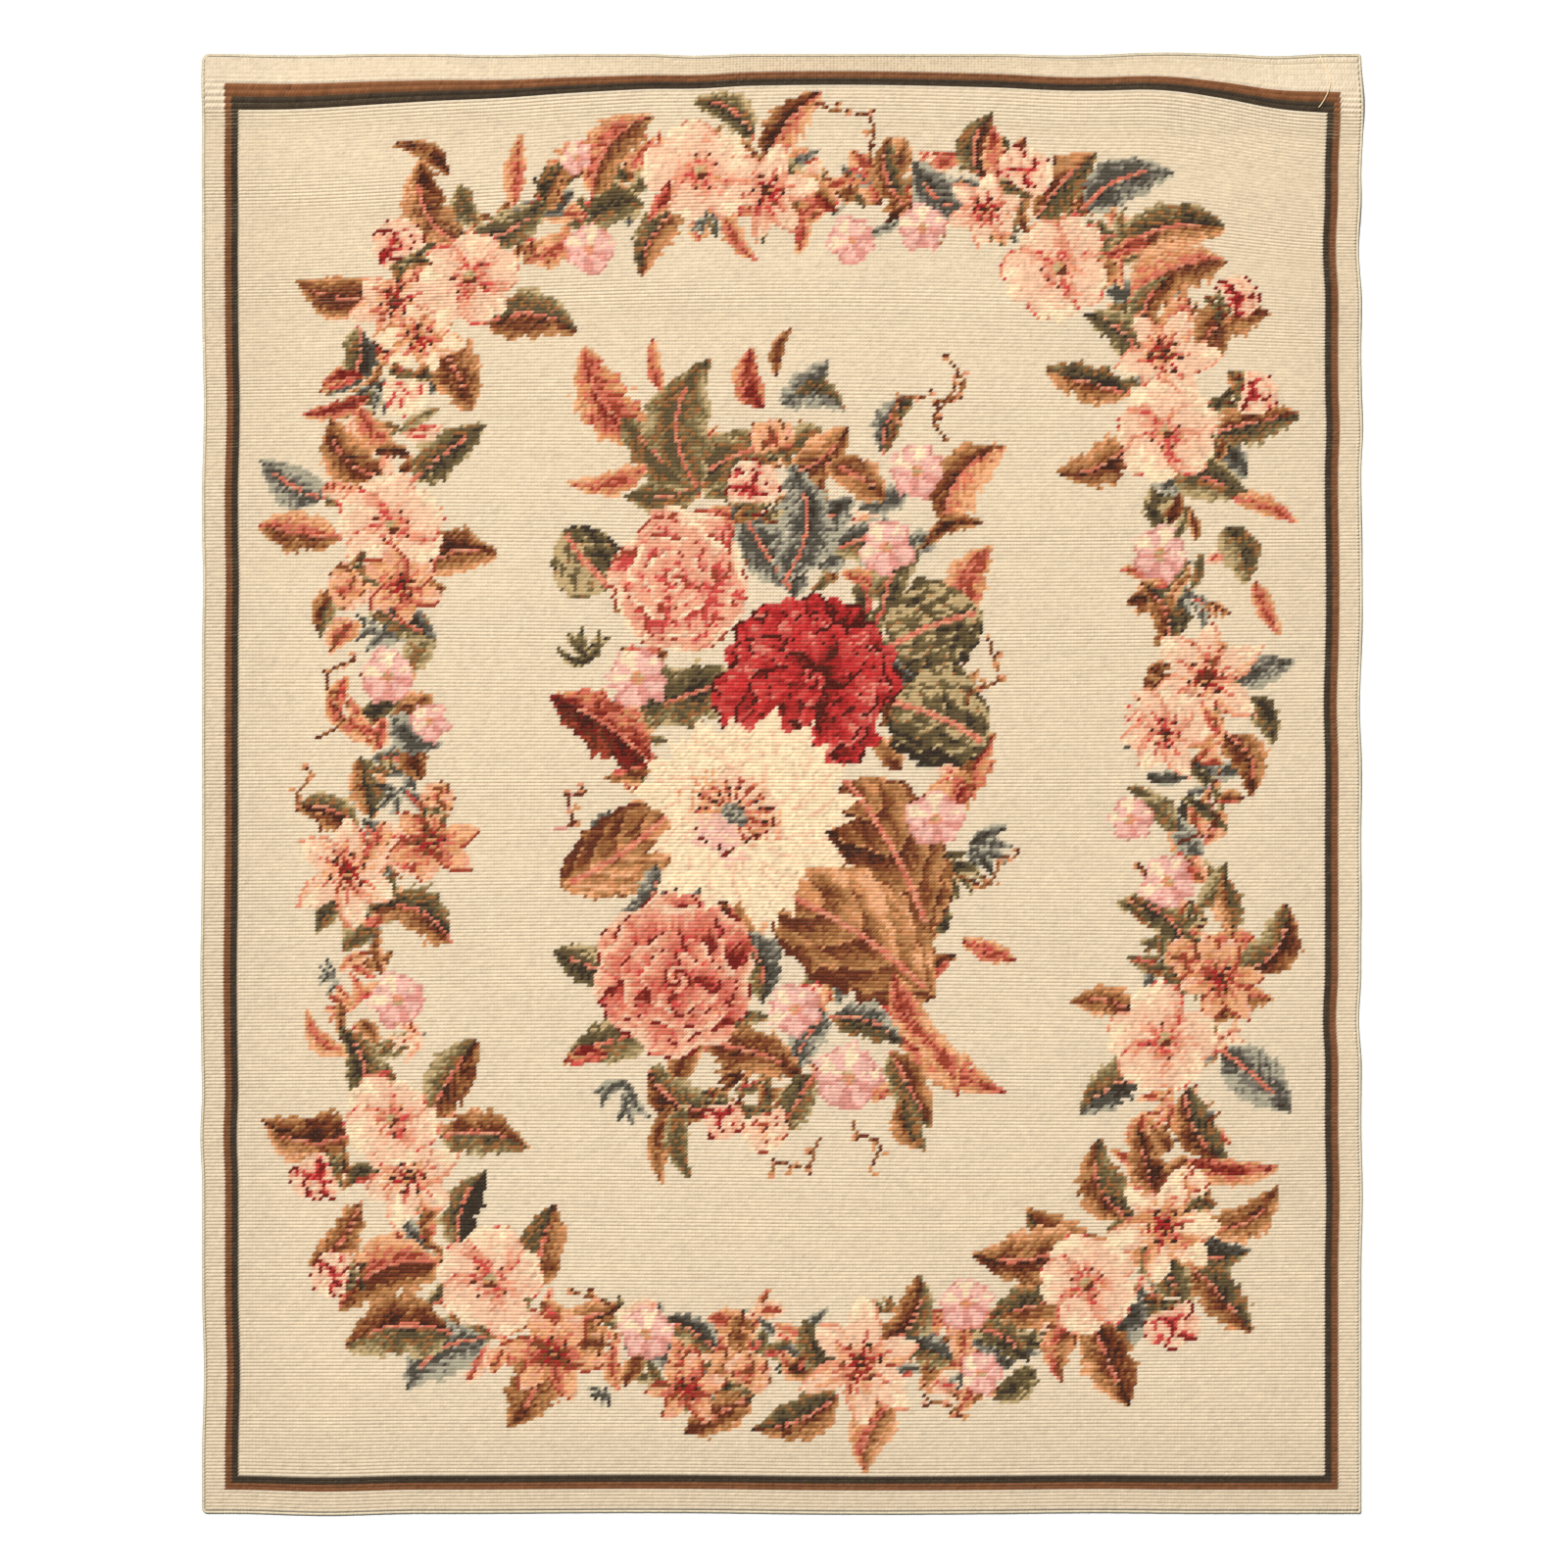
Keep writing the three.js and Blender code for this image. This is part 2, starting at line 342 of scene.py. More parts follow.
# %% Squared paper
chart = np.zeros((ROWS, COLUMNS), int)
BORDER_INSET, LINE_STITCHES = 6, 2
for step, name in enumerate(("line_brown", "line_dark", "cream")):
    inset = BORDER_INSET + step * LINE_STITCHES
    chart[inset : ROWS - inset, inset : COLUMNS - inset] = WOOL_NAMES.index(name)
FIELD_INSET = BORDER_INSET + 2 * LINE_STITCHES
MIX_SEED, NOISE_CELLS = 5, 64
odd_row = 0.25 + 0.5 * (np.arange(ROWS) % 2)[:, None]
mixing = 0.5 * odd_row + 0.5 * np.random.default_rng(MIX_SEED).random((ROWS, COLUMNS))
print("Stitches in the border line:", int((chart > 0).sum()))


def soft_noise(x, y, reach, seed):
    """Smooth noise from 0 to 1 that changes over a distance."""
    grid = np.random.default_rng(int(seed)).random((NOISE_CELLS, NOISE_CELLS))
    u, v = (x / reach) % (NOISE_CELLS - 1), (y / reach) % (NOISE_CELLS - 1)
    i, j = np.floor(u).astype(int), np.floor(v).astype(int)
    fu, fv = u - i, v - j
    fu, fv = fu * fu * (3 - 2 * fu), fv * fv * (3 - 2 * fv)
    near = grid[j, i] * (1 - fu) + grid[j, i + 1] * fu
    far = grid[j + 1, i] * (1 - fu) + grid[j + 1, i + 1] * fu
    return near * (1 - fv) + far * fv


class Patch:
    """The stitches within reach of a place, seen along a motif that points towards turn."""

    def __init__(self, x, y, reach, turn=0.0):
        first = [(x - reach + PANEL_WIDTH / 2) / STITCH_WIDE, (y - reach + PANEL_LENGTH / 2) / STITCH_LONG]
        last = [(x + reach + PANEL_WIDTH / 2) / STITCH_WIDE, (y + reach + PANEL_LENGTH / 2) / STITCH_LONG]
        c0, r0 = (max(int(value), FIELD_INSET) for value in first)
        c1, r1 = (min(int(v) + 2, limit - FIELD_INSET) for v, limit in zip(last, (COLUMNS, ROWS)))
        self.window = (slice(r0, r1), slice(c0, c1))
        across = (np.arange(c0, c1) + 0.5) * STITCH_WIDE - PANEL_WIDTH / 2
        along = (np.arange(r0, r1) + 0.5) * STITCH_LONG - PANEL_LENGTH / 2
        self.x, self.y = np.meshgrid(across, along)
        angle = np.radians(turn)
        self.u = (self.x - x) * np.cos(angle) + (self.y - y) * np.sin(angle)
        self.v = -(self.x - x) * np.sin(angle) + (self.y - y) * np.cos(angle)
        self.far, self.round = np.hypot(self.u, self.v), np.arctan2(self.v, self.u)
        self.mixing = mixing[self.window]

    def fill(self, inside, tone, wools, mix=0.3):
        """Work the stitches inside a shape: tone 0 takes the darkest wool, 1 the lightest."""
        names = SHADES.get(wools, wools).split()
        numbers = np.array([WOOL_NAMES.index(name) for name in names])
        shade = tone + mix * (self.mixing - 0.5)
        pick = np.clip((shade * len(numbers)).astype(int), 0, len(numbers) - 1)
        chart[self.window] = np.where(inside, numbers[pick], chart[self.window])


print("A patch of 10 mm reach holds", Patch(0.0, 0.0, 10.0).far.size, "stitches")

# %% [markdown]
# ## Leaves
#
# A real leaf catches the light on one side of its rib, so each leaf is two half shapes in two
# shades. Its teeth are a saw wave on its width, and the coral rib is one line of stitches.

# %% Toothed leaves
RIB_FROM, FULL_RIB_FROM = 66, 96


def toothed_leaf(x, y, size, turn, wools, seed, slim=0.56, teeth=6, rib="coral coral salmon"):
    """A leaf with a toothed edge and two halves in two shades, ribbed if it is large."""
    first, _, second = wools.partition("-")
    p = Patch(x, y, size * 0.75, turn)
    chance = np.random.default_rng(int(seed))
    bend, fat, light, bite, tail = chance.uniform([-0.42, 0.85, -1, 0.1, 0.1], [0.42, 1.15, 1, 0.34, 0.45])
    s = 2 * p.u / size
    middle = bend * size * 0.5 * (1 - s * s)
    ragged = soft_noise(p.x, p.y, 9, seed)
    tooth = (1 - bite * (((s + 1) * teeth / 2 + 0.6 * ragged) % 1)) * (0.8 + 0.4 * ragged)
    outline = np.clip(1 - np.abs(s) ** 2.2, 0, 1) ** 0.75 * (1 - tail * s)
    half = np.maximum(size * slim * fat / 2 * outline * tooth, 0.1)
    t = (p.v - middle) / half * np.sign(light)
    inside = (np.abs(s) < 1) & (np.abs(t) < 1)
    vein = ((s + 0.6 * np.abs(t)) * teeth * 0.6 + 10) % 1
    blur = 0.5 * (soft_noise(p.x, p.y, 17, seed + 3) - 0.5) + 0.3 * (ragged - 0.5)
    glow = 0.1 + 0.62 * np.abs(t) ** 1.2 + 0.42 * (vein - 0.4) * (1 - 0.4 * np.abs(t)) + blur
    p.fill(inside & (t >= 0), glow + 0.14, first)
    p.fill(inside & (t < 0), glow - 0.06, second or first)
    if rib and size > RIB_FROM:
        line = (np.abs(p.v - middle) < 0.6 * STITCH_LONG) & (s > -1.05) & (s < 0.5)
        p.fill(line & ((p.mixing > 0.35) | (size > FULL_RIB_FROM)), p.mixing, rib)


def blade(x, y, size, turn, wools, seed):
    """A narrow toothed leaf without a rib."""
    toothed_leaf(x, y, size, turn, wools, seed, slim=0.3, teeth=4, rib=None)


def lobed_leaf(x, y, size, turn, wools, seed):
    """Five toothed lobes that spread from one foot."""
    foot_x, foot_y = x - 0.2 * size * np.cos(np.radians(turn)), y - 0.2 * size * np.sin(np.radians(turn))
    for k, (way, share) in enumerate(((-112, 0.46), (108, 0.48), (-60, 0.6), (56, 0.62), (0, 0.78))):
        angle = np.radians(turn + way)
        out = size * share * 0.46
        lobe_x, lobe_y = foot_x + out * np.cos(angle), foot_y + out * np.sin(angle)
        toothed_leaf(lobe_x, lobe_y, size * share, turn + way, wools, seed + k, 0.54, 3)


def sprig(x, y, size, turn, wools, seed):
    """Five narrow leaves that fan out from one foot."""
    for k in range(5):
        way = np.radians(turn + (k - 2) * 27)
        out_x, out_y = 0.28 * size * np.cos(way), 0.28 * size * np.sin(way)
        toothed_leaf(x + out_x, y + out_y, size * 0.6, np.degrees(way), wools, seed + k, 0.3, 3, None)


MOTIFS = {"leaf": toothed_leaf, "blade": blade, "lobed": lobed_leaf, "sprig": sprig}
print("Toothed motifs:", ", ".join(MOTIFS))


# %% Broad leaves
def broad_leaf(x, y, size, turn, wools, seed, slim=0.62, bend=0.1, veins="camel amber", mottle=0.4):
    """A wide leaf with a smooth edge, arched veins and a full rib."""
    p = Patch(x, y, size * 0.8, turn)
    s = 2 * p.u / size
    middle = bend * size * 0.5 * (1 - s * s)
    ragged = soft_noise(p.x, p.y, 11, seed)
    outline = np.clip(1 - np.abs(s) ** 2.6, 0, 1) ** 0.7 * (1 - 0.2 * s)
    half = slim * size / 2 * outline * (0.88 + 0.24 * ragged)
    t = (p.v - middle) / np.maximum(half, 0.1)
    inside = (np.abs(s) < 1) & (np.abs(t) < 1)
    arch = ((s + 0.8 * np.abs(t) ** 1.5) * 2.1 + 10) % 1
    grain = soft_noise(p.v * 2 + 300, p.u * 0.4 + 300, 9, seed + 5)
    glow = 0.5 + 0.5 * (arch - 0.5) + 0.3 * t - 0.3 * (np.abs(t) > 0.88) + mottle * (grain - 0.5)
    glow = glow + 0.4 * (soft_noise(p.x, p.y, 24, seed + 1) - 0.5)
    p.fill(inside, glow, wools, 0.3)
    p.fill(inside & (arch < 5 / size * 1.1) & (np.abs(t) > 0.1), p.mixing, veins)
    line = (np.abs(p.v - middle) < 0.9 * STITCH_LONG) & (s > -1.02) & (s < 0.86)
    p.fill(line, p.mixing, "coral salmon")


def round_leaf(x, y, size, turn, wools, seed):
    """A mottled leaf almost as wide as it is long."""
    broad_leaf(x, y, size, turn, wools, seed, slim=0.95, veins="tan straw camel", mottle=0.9)


MOTIFS |= {"broad": broad_leaf, "round": round_leaf}
print("Motifs so far:", ", ".join(MOTIFS))

# %% Twigs
TWIG_STOPS, TWIG_HALF = 60, 1.7
FIRST_BUD, BUD_STEP = 14, 9


def twig(x, y, size, turn, wools, seed):
    """A thin curling stem with a bud at each turn."""
    way = np.radians(turn)
    share = np.linspace(0, 1, TWIG_STOPS)
    sway = 0.16 * size * np.sin(share * 7 + seed)
    xs = x + (share - 0.5) * size * np.cos(way) - sway * np.sin(way)
    ys = y + (share - 0.5) * size * np.sin(way) + sway * np.cos(way)
    p = Patch(x, y, size * 0.75)
    for k in range(TWIG_STOPS):
        p.fill(np.hypot(p.x - xs[k], p.y - ys[k]) < TWIG_HALF, p.mixing, wools)
    for k in range(FIRST_BUD, TWIG_STOPS, BUD_STEP):
        side = way + (0.9 if k % 2 else -0.9)
        for out, radius, dye in ((4.0, 1.9, wools), (7.0, 3.4, "chestnut amber salmon")):
            near = np.hypot(p.x - xs[k] - out * np.cos(side), p.y - ys[k] - out * np.sin(side))
            p.fill(near < radius, p.mixing, dye)


MOTIFS["twig"] = twig
print("Buds on a twig:", len(range(FIRST_BUD, TWIG_STOPS, BUD_STEP)))

# %% [markdown]
# ## Flowers
#
# A flower is rings of petals, each ring smaller and nearer the middle than the one before. A
# petal has a dark line at its hidden side, streaks along its length and a light rim, which is all
# that tells the eye where one petal lies over the next.

# %% Petals
SWELL_IN, SWELL_OUT = 0.6, 0.38


def petals(x, y, reach, count, turn, slim, wools, seed, **look):
    """A ring of petals, laid in chance order, each one over the last."""
    look = {"point": 0.0, "notch": 0.0, "streak": 0.3, "dark": 0.05, "hidden": 0.0, "rim": 0.0} | look
    chance = np.random.default_rng(int(seed))
    for k in chance.permutation(count):
        wobble = chance.normal(0, 1, 3)
        p = Patch(x, y, reach * 1.3, turn + 360 * k / count + 5 * wobble[0])
        s = p.u / (reach * 0.95 * (1 + 0.06 * wobble[1])) - 0.05
        inner, outer = np.clip(s, 0, 1), np.clip(1 - s, 0, 1)
        peak = SWELL_IN / (SWELL_IN + SWELL_OUT + look["point"])
        swell = (inner / peak) ** SWELL_IN * (outer / (1 - peak)) ** (SWELL_OUT + look["point"])
        ragged = soft_noise(p.x, p.y, 8, seed + k)
        half = slim * reach / 2 * (1 + 0.08 * wobble[2]) * swell * (0.88 + 0.26 * ragged)
        side = p.v / np.maximum(half, 0.1)
        tip = 1 - look["notch"] * np.exp(-((p.v / (0.16 * slim * reach)) ** 2))
        inside = (s > 0) & (s < tip) & (np.abs(side) < 1)
        behind = (s > 0) & (s < tip + 0.05) & (np.abs(p.v) < half + 0.8 * STITCH_WIDE) & (p.v < 0)
        lines = soft_noise(p.v * 3 + 200, p.u * 0.35 + 200, 10, seed + 7 * k)
        shown = np.clip((inner - look["hidden"]) / (1 - look["hidden"]), 0, 1)
        glow = 0.16 + 0.74 * shown**0.8 - look["streak"] * (lines - 0.4) * (1 - 0.35 * shown)
        glow = glow - 0.18 * (side < -0.55) + look["rim"] * (s > tip - 0.09) + 0.08 * wobble[2]
        p.fill(behind, np.full(s.shape, look["dark"]), wools, 0.1)
        p.fill(inside, glow, wools)


print(f"A blunt petal is widest at {SWELL_IN / (SWELL_IN + SWELL_OUT):.0%} of its length")

# %% [markdown]
# ## Open flowers and full ones
#
# The blossoms of the wreath are open, with stamens, and the roses and the peony are full. Both
# are the same rings of petals: an open flower is one ring round a heart of dots, and a full one is
# four or five rings whose inner parts are hidden. So one function for petals draws them all.

# %% Open flowers
DOT_HALF = 2.4


def blossom(x, y, size, turn, wools, seed):
    """Five broad petals round a ring of stamens."""
    look = {"point": 0.08, "notch": 0.08, "streak": 0.42, "dark": 0.14, "rim": 0.2}
    petals(x, y, size * 0.84, 5, turn, 0.9, wools, seed, **look)
    p = Patch(x, y, size * 0.55, turn)
    star = (np.cos(p.round * 9) > 0.2) & (p.far < size * 0.26)
    p.fill(star & (p.mixing > 0.4), 0.95 - p.far / size * 2.4, "crimson coral salmon")
    p.fill(p.far < size * 0.11, 0.5 + 0.4 * np.sin(p.round), "chestnut amber straw")
    dots = (np.cos(p.round * 8 + 1) > 0.75) & (np.abs(p.far - size * 0.26) < DOT_HALF)
    p.fill(dots, p.mixing, "chestnut amber")


def lily(x, y, size, turn, wools, seed):
    """Six pointed petals, each with a coloured rib."""
    petals(x, y, size * 0.92, 6, turn, 0.5, wools, seed, point=0.35, streak=0.5, dark=0.16, rim=0.15)
    for k in range(6):
        p = Patch(x, y, size, turn + 60 * k)
        rib = (np.abs(p.v) < 2.0) & (p.u > size * 0.1) & (p.u < size * 0.5)
        p.fill(rib & (p.mixing > 0.4), 0.9 - p.u / size, "salmon coral crimson")
    p = Patch(x, y, size * 0.4, turn)
    p.fill(p.far < size * 0.13, p.mixing, "maroon chestnut crimson amber")
    dots = (np.cos(p.round * 6 + 1.5) > 0.6) & (np.abs(p.far - size * 0.27) < DOT_HALF)
    p.fill(dots, p.mixing, "maroon russet")


def trumpet(x, y, size, turn, wools, seed):
    """A small round flower with five folds and a warm eye."""
    p = Patch(x, y, size * 0.8, turn)
    ragged = soft_noise(p.x, p.y, 6, seed)
    fold = np.cos(p.round * 5)
    edge = size * 0.5 * (0.94 + 0.06 * fold) * (0.84 + 0.3 * ragged)
    glow = 0.5 + 0.22 * fold + 0.5 * (p.far / size) + 0.24 * np.sin(p.round) - 0.45 * (p.far > edge * 0.88)
    p.fill(p.far < edge, glow, wools, 0.3)
    p.fill(p.far < size * 0.1, p.mixing, "amber salmon straw")


MOTIFS |= {"blossom": blossom, "lily": lily, "trumpet": trumpet}
print("Motifs so far:", len(MOTIFS))

# %% Full flowers
ROSE_RINGS = table("""
share  petals  slim  hidden
1.0    6       1.12  0.5
0.82   5       1.15  0.45
0.6    5       1.15  0.4
0.4    4       1.2   0.2
""")
PEONY_RINGS = table("""
share  petals  slim  hidden
1.0    12      0.7   0.62
0.9    11      0.66  0.56
0.72   9       0.68  0.5
0.54   7       0.76  0.4
0.36   5       1.0   0.2
""")
RING_SHIFT = 5


def full_flower(x, y, size, turn, wools, seed, rings, twist, heart, **look):
    """Rings of cupped petals, each turned by a twist from the last, round a rolled heart."""
    for k, ring in enumerate(rings):
        ring_x, ring_y = x + RING_SHIFT * np.sin(seed + k), y + RING_SHIFT * np.cos(seed * 2 + k)
        place = (ring_x, ring_y, size * ring["share"], int(ring["petals"]), turn + twist * k, ring["slim"])
        petals(*place, wools, seed + 13 * k, hidden=ring["hidden"], **look)
    p = Patch(x, y, size * 0.4, turn)
    p.fill(p.far < size * heart, 0.45 + 0.5 * np.sin(p.round * 2 + p.far * 0.5), wools)


def rose(x, y, size, turn, wools, seed):
    """A full rose: four rings of wide petals with light rims."""
    look = {"notch": 0.08, "streak": 0.6, "dark": 0.03, "rim": 0.18}
    full_flower(x, y, size, turn, wools, seed, ROSE_RINGS, 31, 0.17, **look)


def peony(x, y, size, turn, wools, seed):
    """A full round flower of many small petals."""
    look = {"notch": 0.1, "streak": 0.8, "dark": 0.02}
    full_flower(x, y, size, turn, wools, seed, PEONY_RINGS, 23, 0.12, **look)


MOTIFS |= {"rose": rose, "peony": peony}
for name, rings in (("rose", ROSE_RINGS), ("peony", PEONY_RINGS)):
    print(f"A {name} has {sum(ring['petals'] for ring in rings):.0f} petals in {len(rings)} rings")


# %% The pale star flower
def star_flower(x, y, size, turn, wools, seed):
    """A wide pale flower of many sharp petals, with an open heart set to one side."""
    for k, (share, count) in enumerate(((1.0, 13), (1.0, 14), (0.86, 15), (0.7, 13))):
        dark = 0.22 if k > 1 else 0.5
        look = {"point": 0.5, "streak": 0.3, "dark": dark}
        petals(x, y, size * share, count, turn + 13 * k, 0.4, wools, seed + k, **look)
    p = Patch(x - size * 0.14, y, size * 0.6, turn)
    ragged = soft_noise(p.x, p.y, 12, seed)
    heart = size * 0.46 * (0.8 + 0.4 * ragged)
    glow = 0.5 + 0.5 * np.sin(p.round + 0.6)
    open_heart = (p.far < heart) & (p.mixing > 0.55 * p.far / heart)
    p.fill(open_heart, glow, "pale_lilac shell apricot salmon apricot shell", 0.5)
    rays = (np.cos(p.round * 15) > 0.2) & (p.far > size * 0.1) & (p.far < heart * 0.72)
    p.fill(rays & (np.sin(p.round * 0.5 + 0.9) > 0.1), p.mixing, "maroon brick coral amber")
    dots = (np.cos(p.round * 17 + 0.4 * p.far) > 0.3) & (np.abs(p.far - heart * 0.78) < 2.8)
    p.fill(dots & (p.v < 4), p.mixing, "maroon garnet chestnut")
    p.fill((p.far < size * 0.1) | (np.hypot(p.u - 8, p.v + 8) < 7), p.mixing, "slate mist frost mist")


MOTIFS["star"] = star_flower
print("Motifs so far:", len(MOTIFS))


# %% Buds
def bud(x, y, size, turn, wools, seed):
    """Folded petals in a cup of two sepals, opening towards turn."""
    way = np.radians(turn)
    foot_x, foot_y = x - 0.22 * size * np.cos(way), y - 0.22 * size * np.sin(way)
    for side in (-1, 1):
        toothed_leaf(foot_x, foot_y, size, turn + 40 * side, "rust-green", seed + side, 0.36, 3, None)
    petals(x, y, size * 0.44, 5, turn, 1.15, wools, seed, streak=0.6, dark=0.08)
    petals(x, y, size * 0.26, 3, turn + 40, 1.3, wools, seed + 1, streak=0.6, dark=0.08)
    p = Patch(x, y, size * 0.8, turn)
    p.fill((p.u < -size * 0.27) & (p.far < size * 0.45), p.mixing, "green")


def slim_bud(x, y, size, turn, wools, seed):
    """A long closed bud with a red streak."""
    toothed_leaf(x, y, size, turn, wools, seed, 0.42, 2, None)
    p = Patch(x, y, size * 0.7, turn)
    p.fill((np.abs(p.v) < size * 0.06) & (np.abs(p.u) < size * 0.3), p.mixing, "brick coral rose")


MOTIFS |= {"bud": bud, "slim": slim_bud}
print("All motifs:", ", ".join(MOTIFS))

# %% [markdown]
# ## The wreath and the bouquet
#
# Each line of the tables is one motif: its kind, its wools, its place in millimetres from the
# rug's middle, its size and the way it points in degrees. Lines further down lie on top. Small
# leaves come first, thrown by chance along a rounded frame, and fill what the big motifs leave.

# %% Small leaves behind the wreath and the bouquet
FAMILIES = "rust bronze bronze flame flame olive olive fern slate mist melon peach blossom".split()
LEAF_SEED, FARTHEST = 23, 1.7
SMALLEST, LARGEST = 32, 64
chance = np.random.default_rng(LEAF_SEED)


def small_leaves(count, x, y, half_wide, half_long, squareness, spread, nearest):
    """Small leaves by chance along a rounded frame, or inward from it down to a nearest share."""
    for k in range(count):
        around = 2 * np.pi * (k + chance.uniform(-0.4, 0.4)) / count
        cosine, sine = np.cos(around), np.sin(around)
        reach = (np.abs(cosine) ** squareness + np.abs(sine) ** squareness) ** (-1 / squareness)
        reach = reach * chance.uniform(nearest, 1)
        away_x, away_y = spread * np.clip(chance.normal(0, 1, 2), -FARTHEST, FARTHEST)
        leaf_x = x + half_wide * reach * cosine + away_x
        leaf_y = y + half_long * reach * sine + away_y
        kind = chance.choice([blade, blade, sprig, toothed_leaf, toothed_leaf, slim_bud])
        size, turn = chance.uniform(SMALLEST, LARGEST), chance.uniform(0, 360)
        kind(leaf_x, leaf_y, size, turn, str(chance.choice(FAMILIES)), k)


small_leaves(520, x=2, y=10, half_wide=426, half_long=608, squareness=5.0, spread=25.0, nearest=1.0)
small_leaves(160, x=8, y=10, half_wide=176, half_long=352, squareness=2.6, spread=14.0, nearest=0.62)
print(f"{(chart >= FIRST_FLOWER_WOOL).mean():.0%} of the stitches are small leaves so far")

# %% [markdown]
# ## Large motifs, leaves first
#
# The wreath keeps to a rounded frame and the bouquet fills its middle, as on many old floral
# rugs. The leaves are worked before the flowers, because on the rug, too, a flower always covers
# the leaves round it. Two wools with a dash between them are the two halves of a leaf.

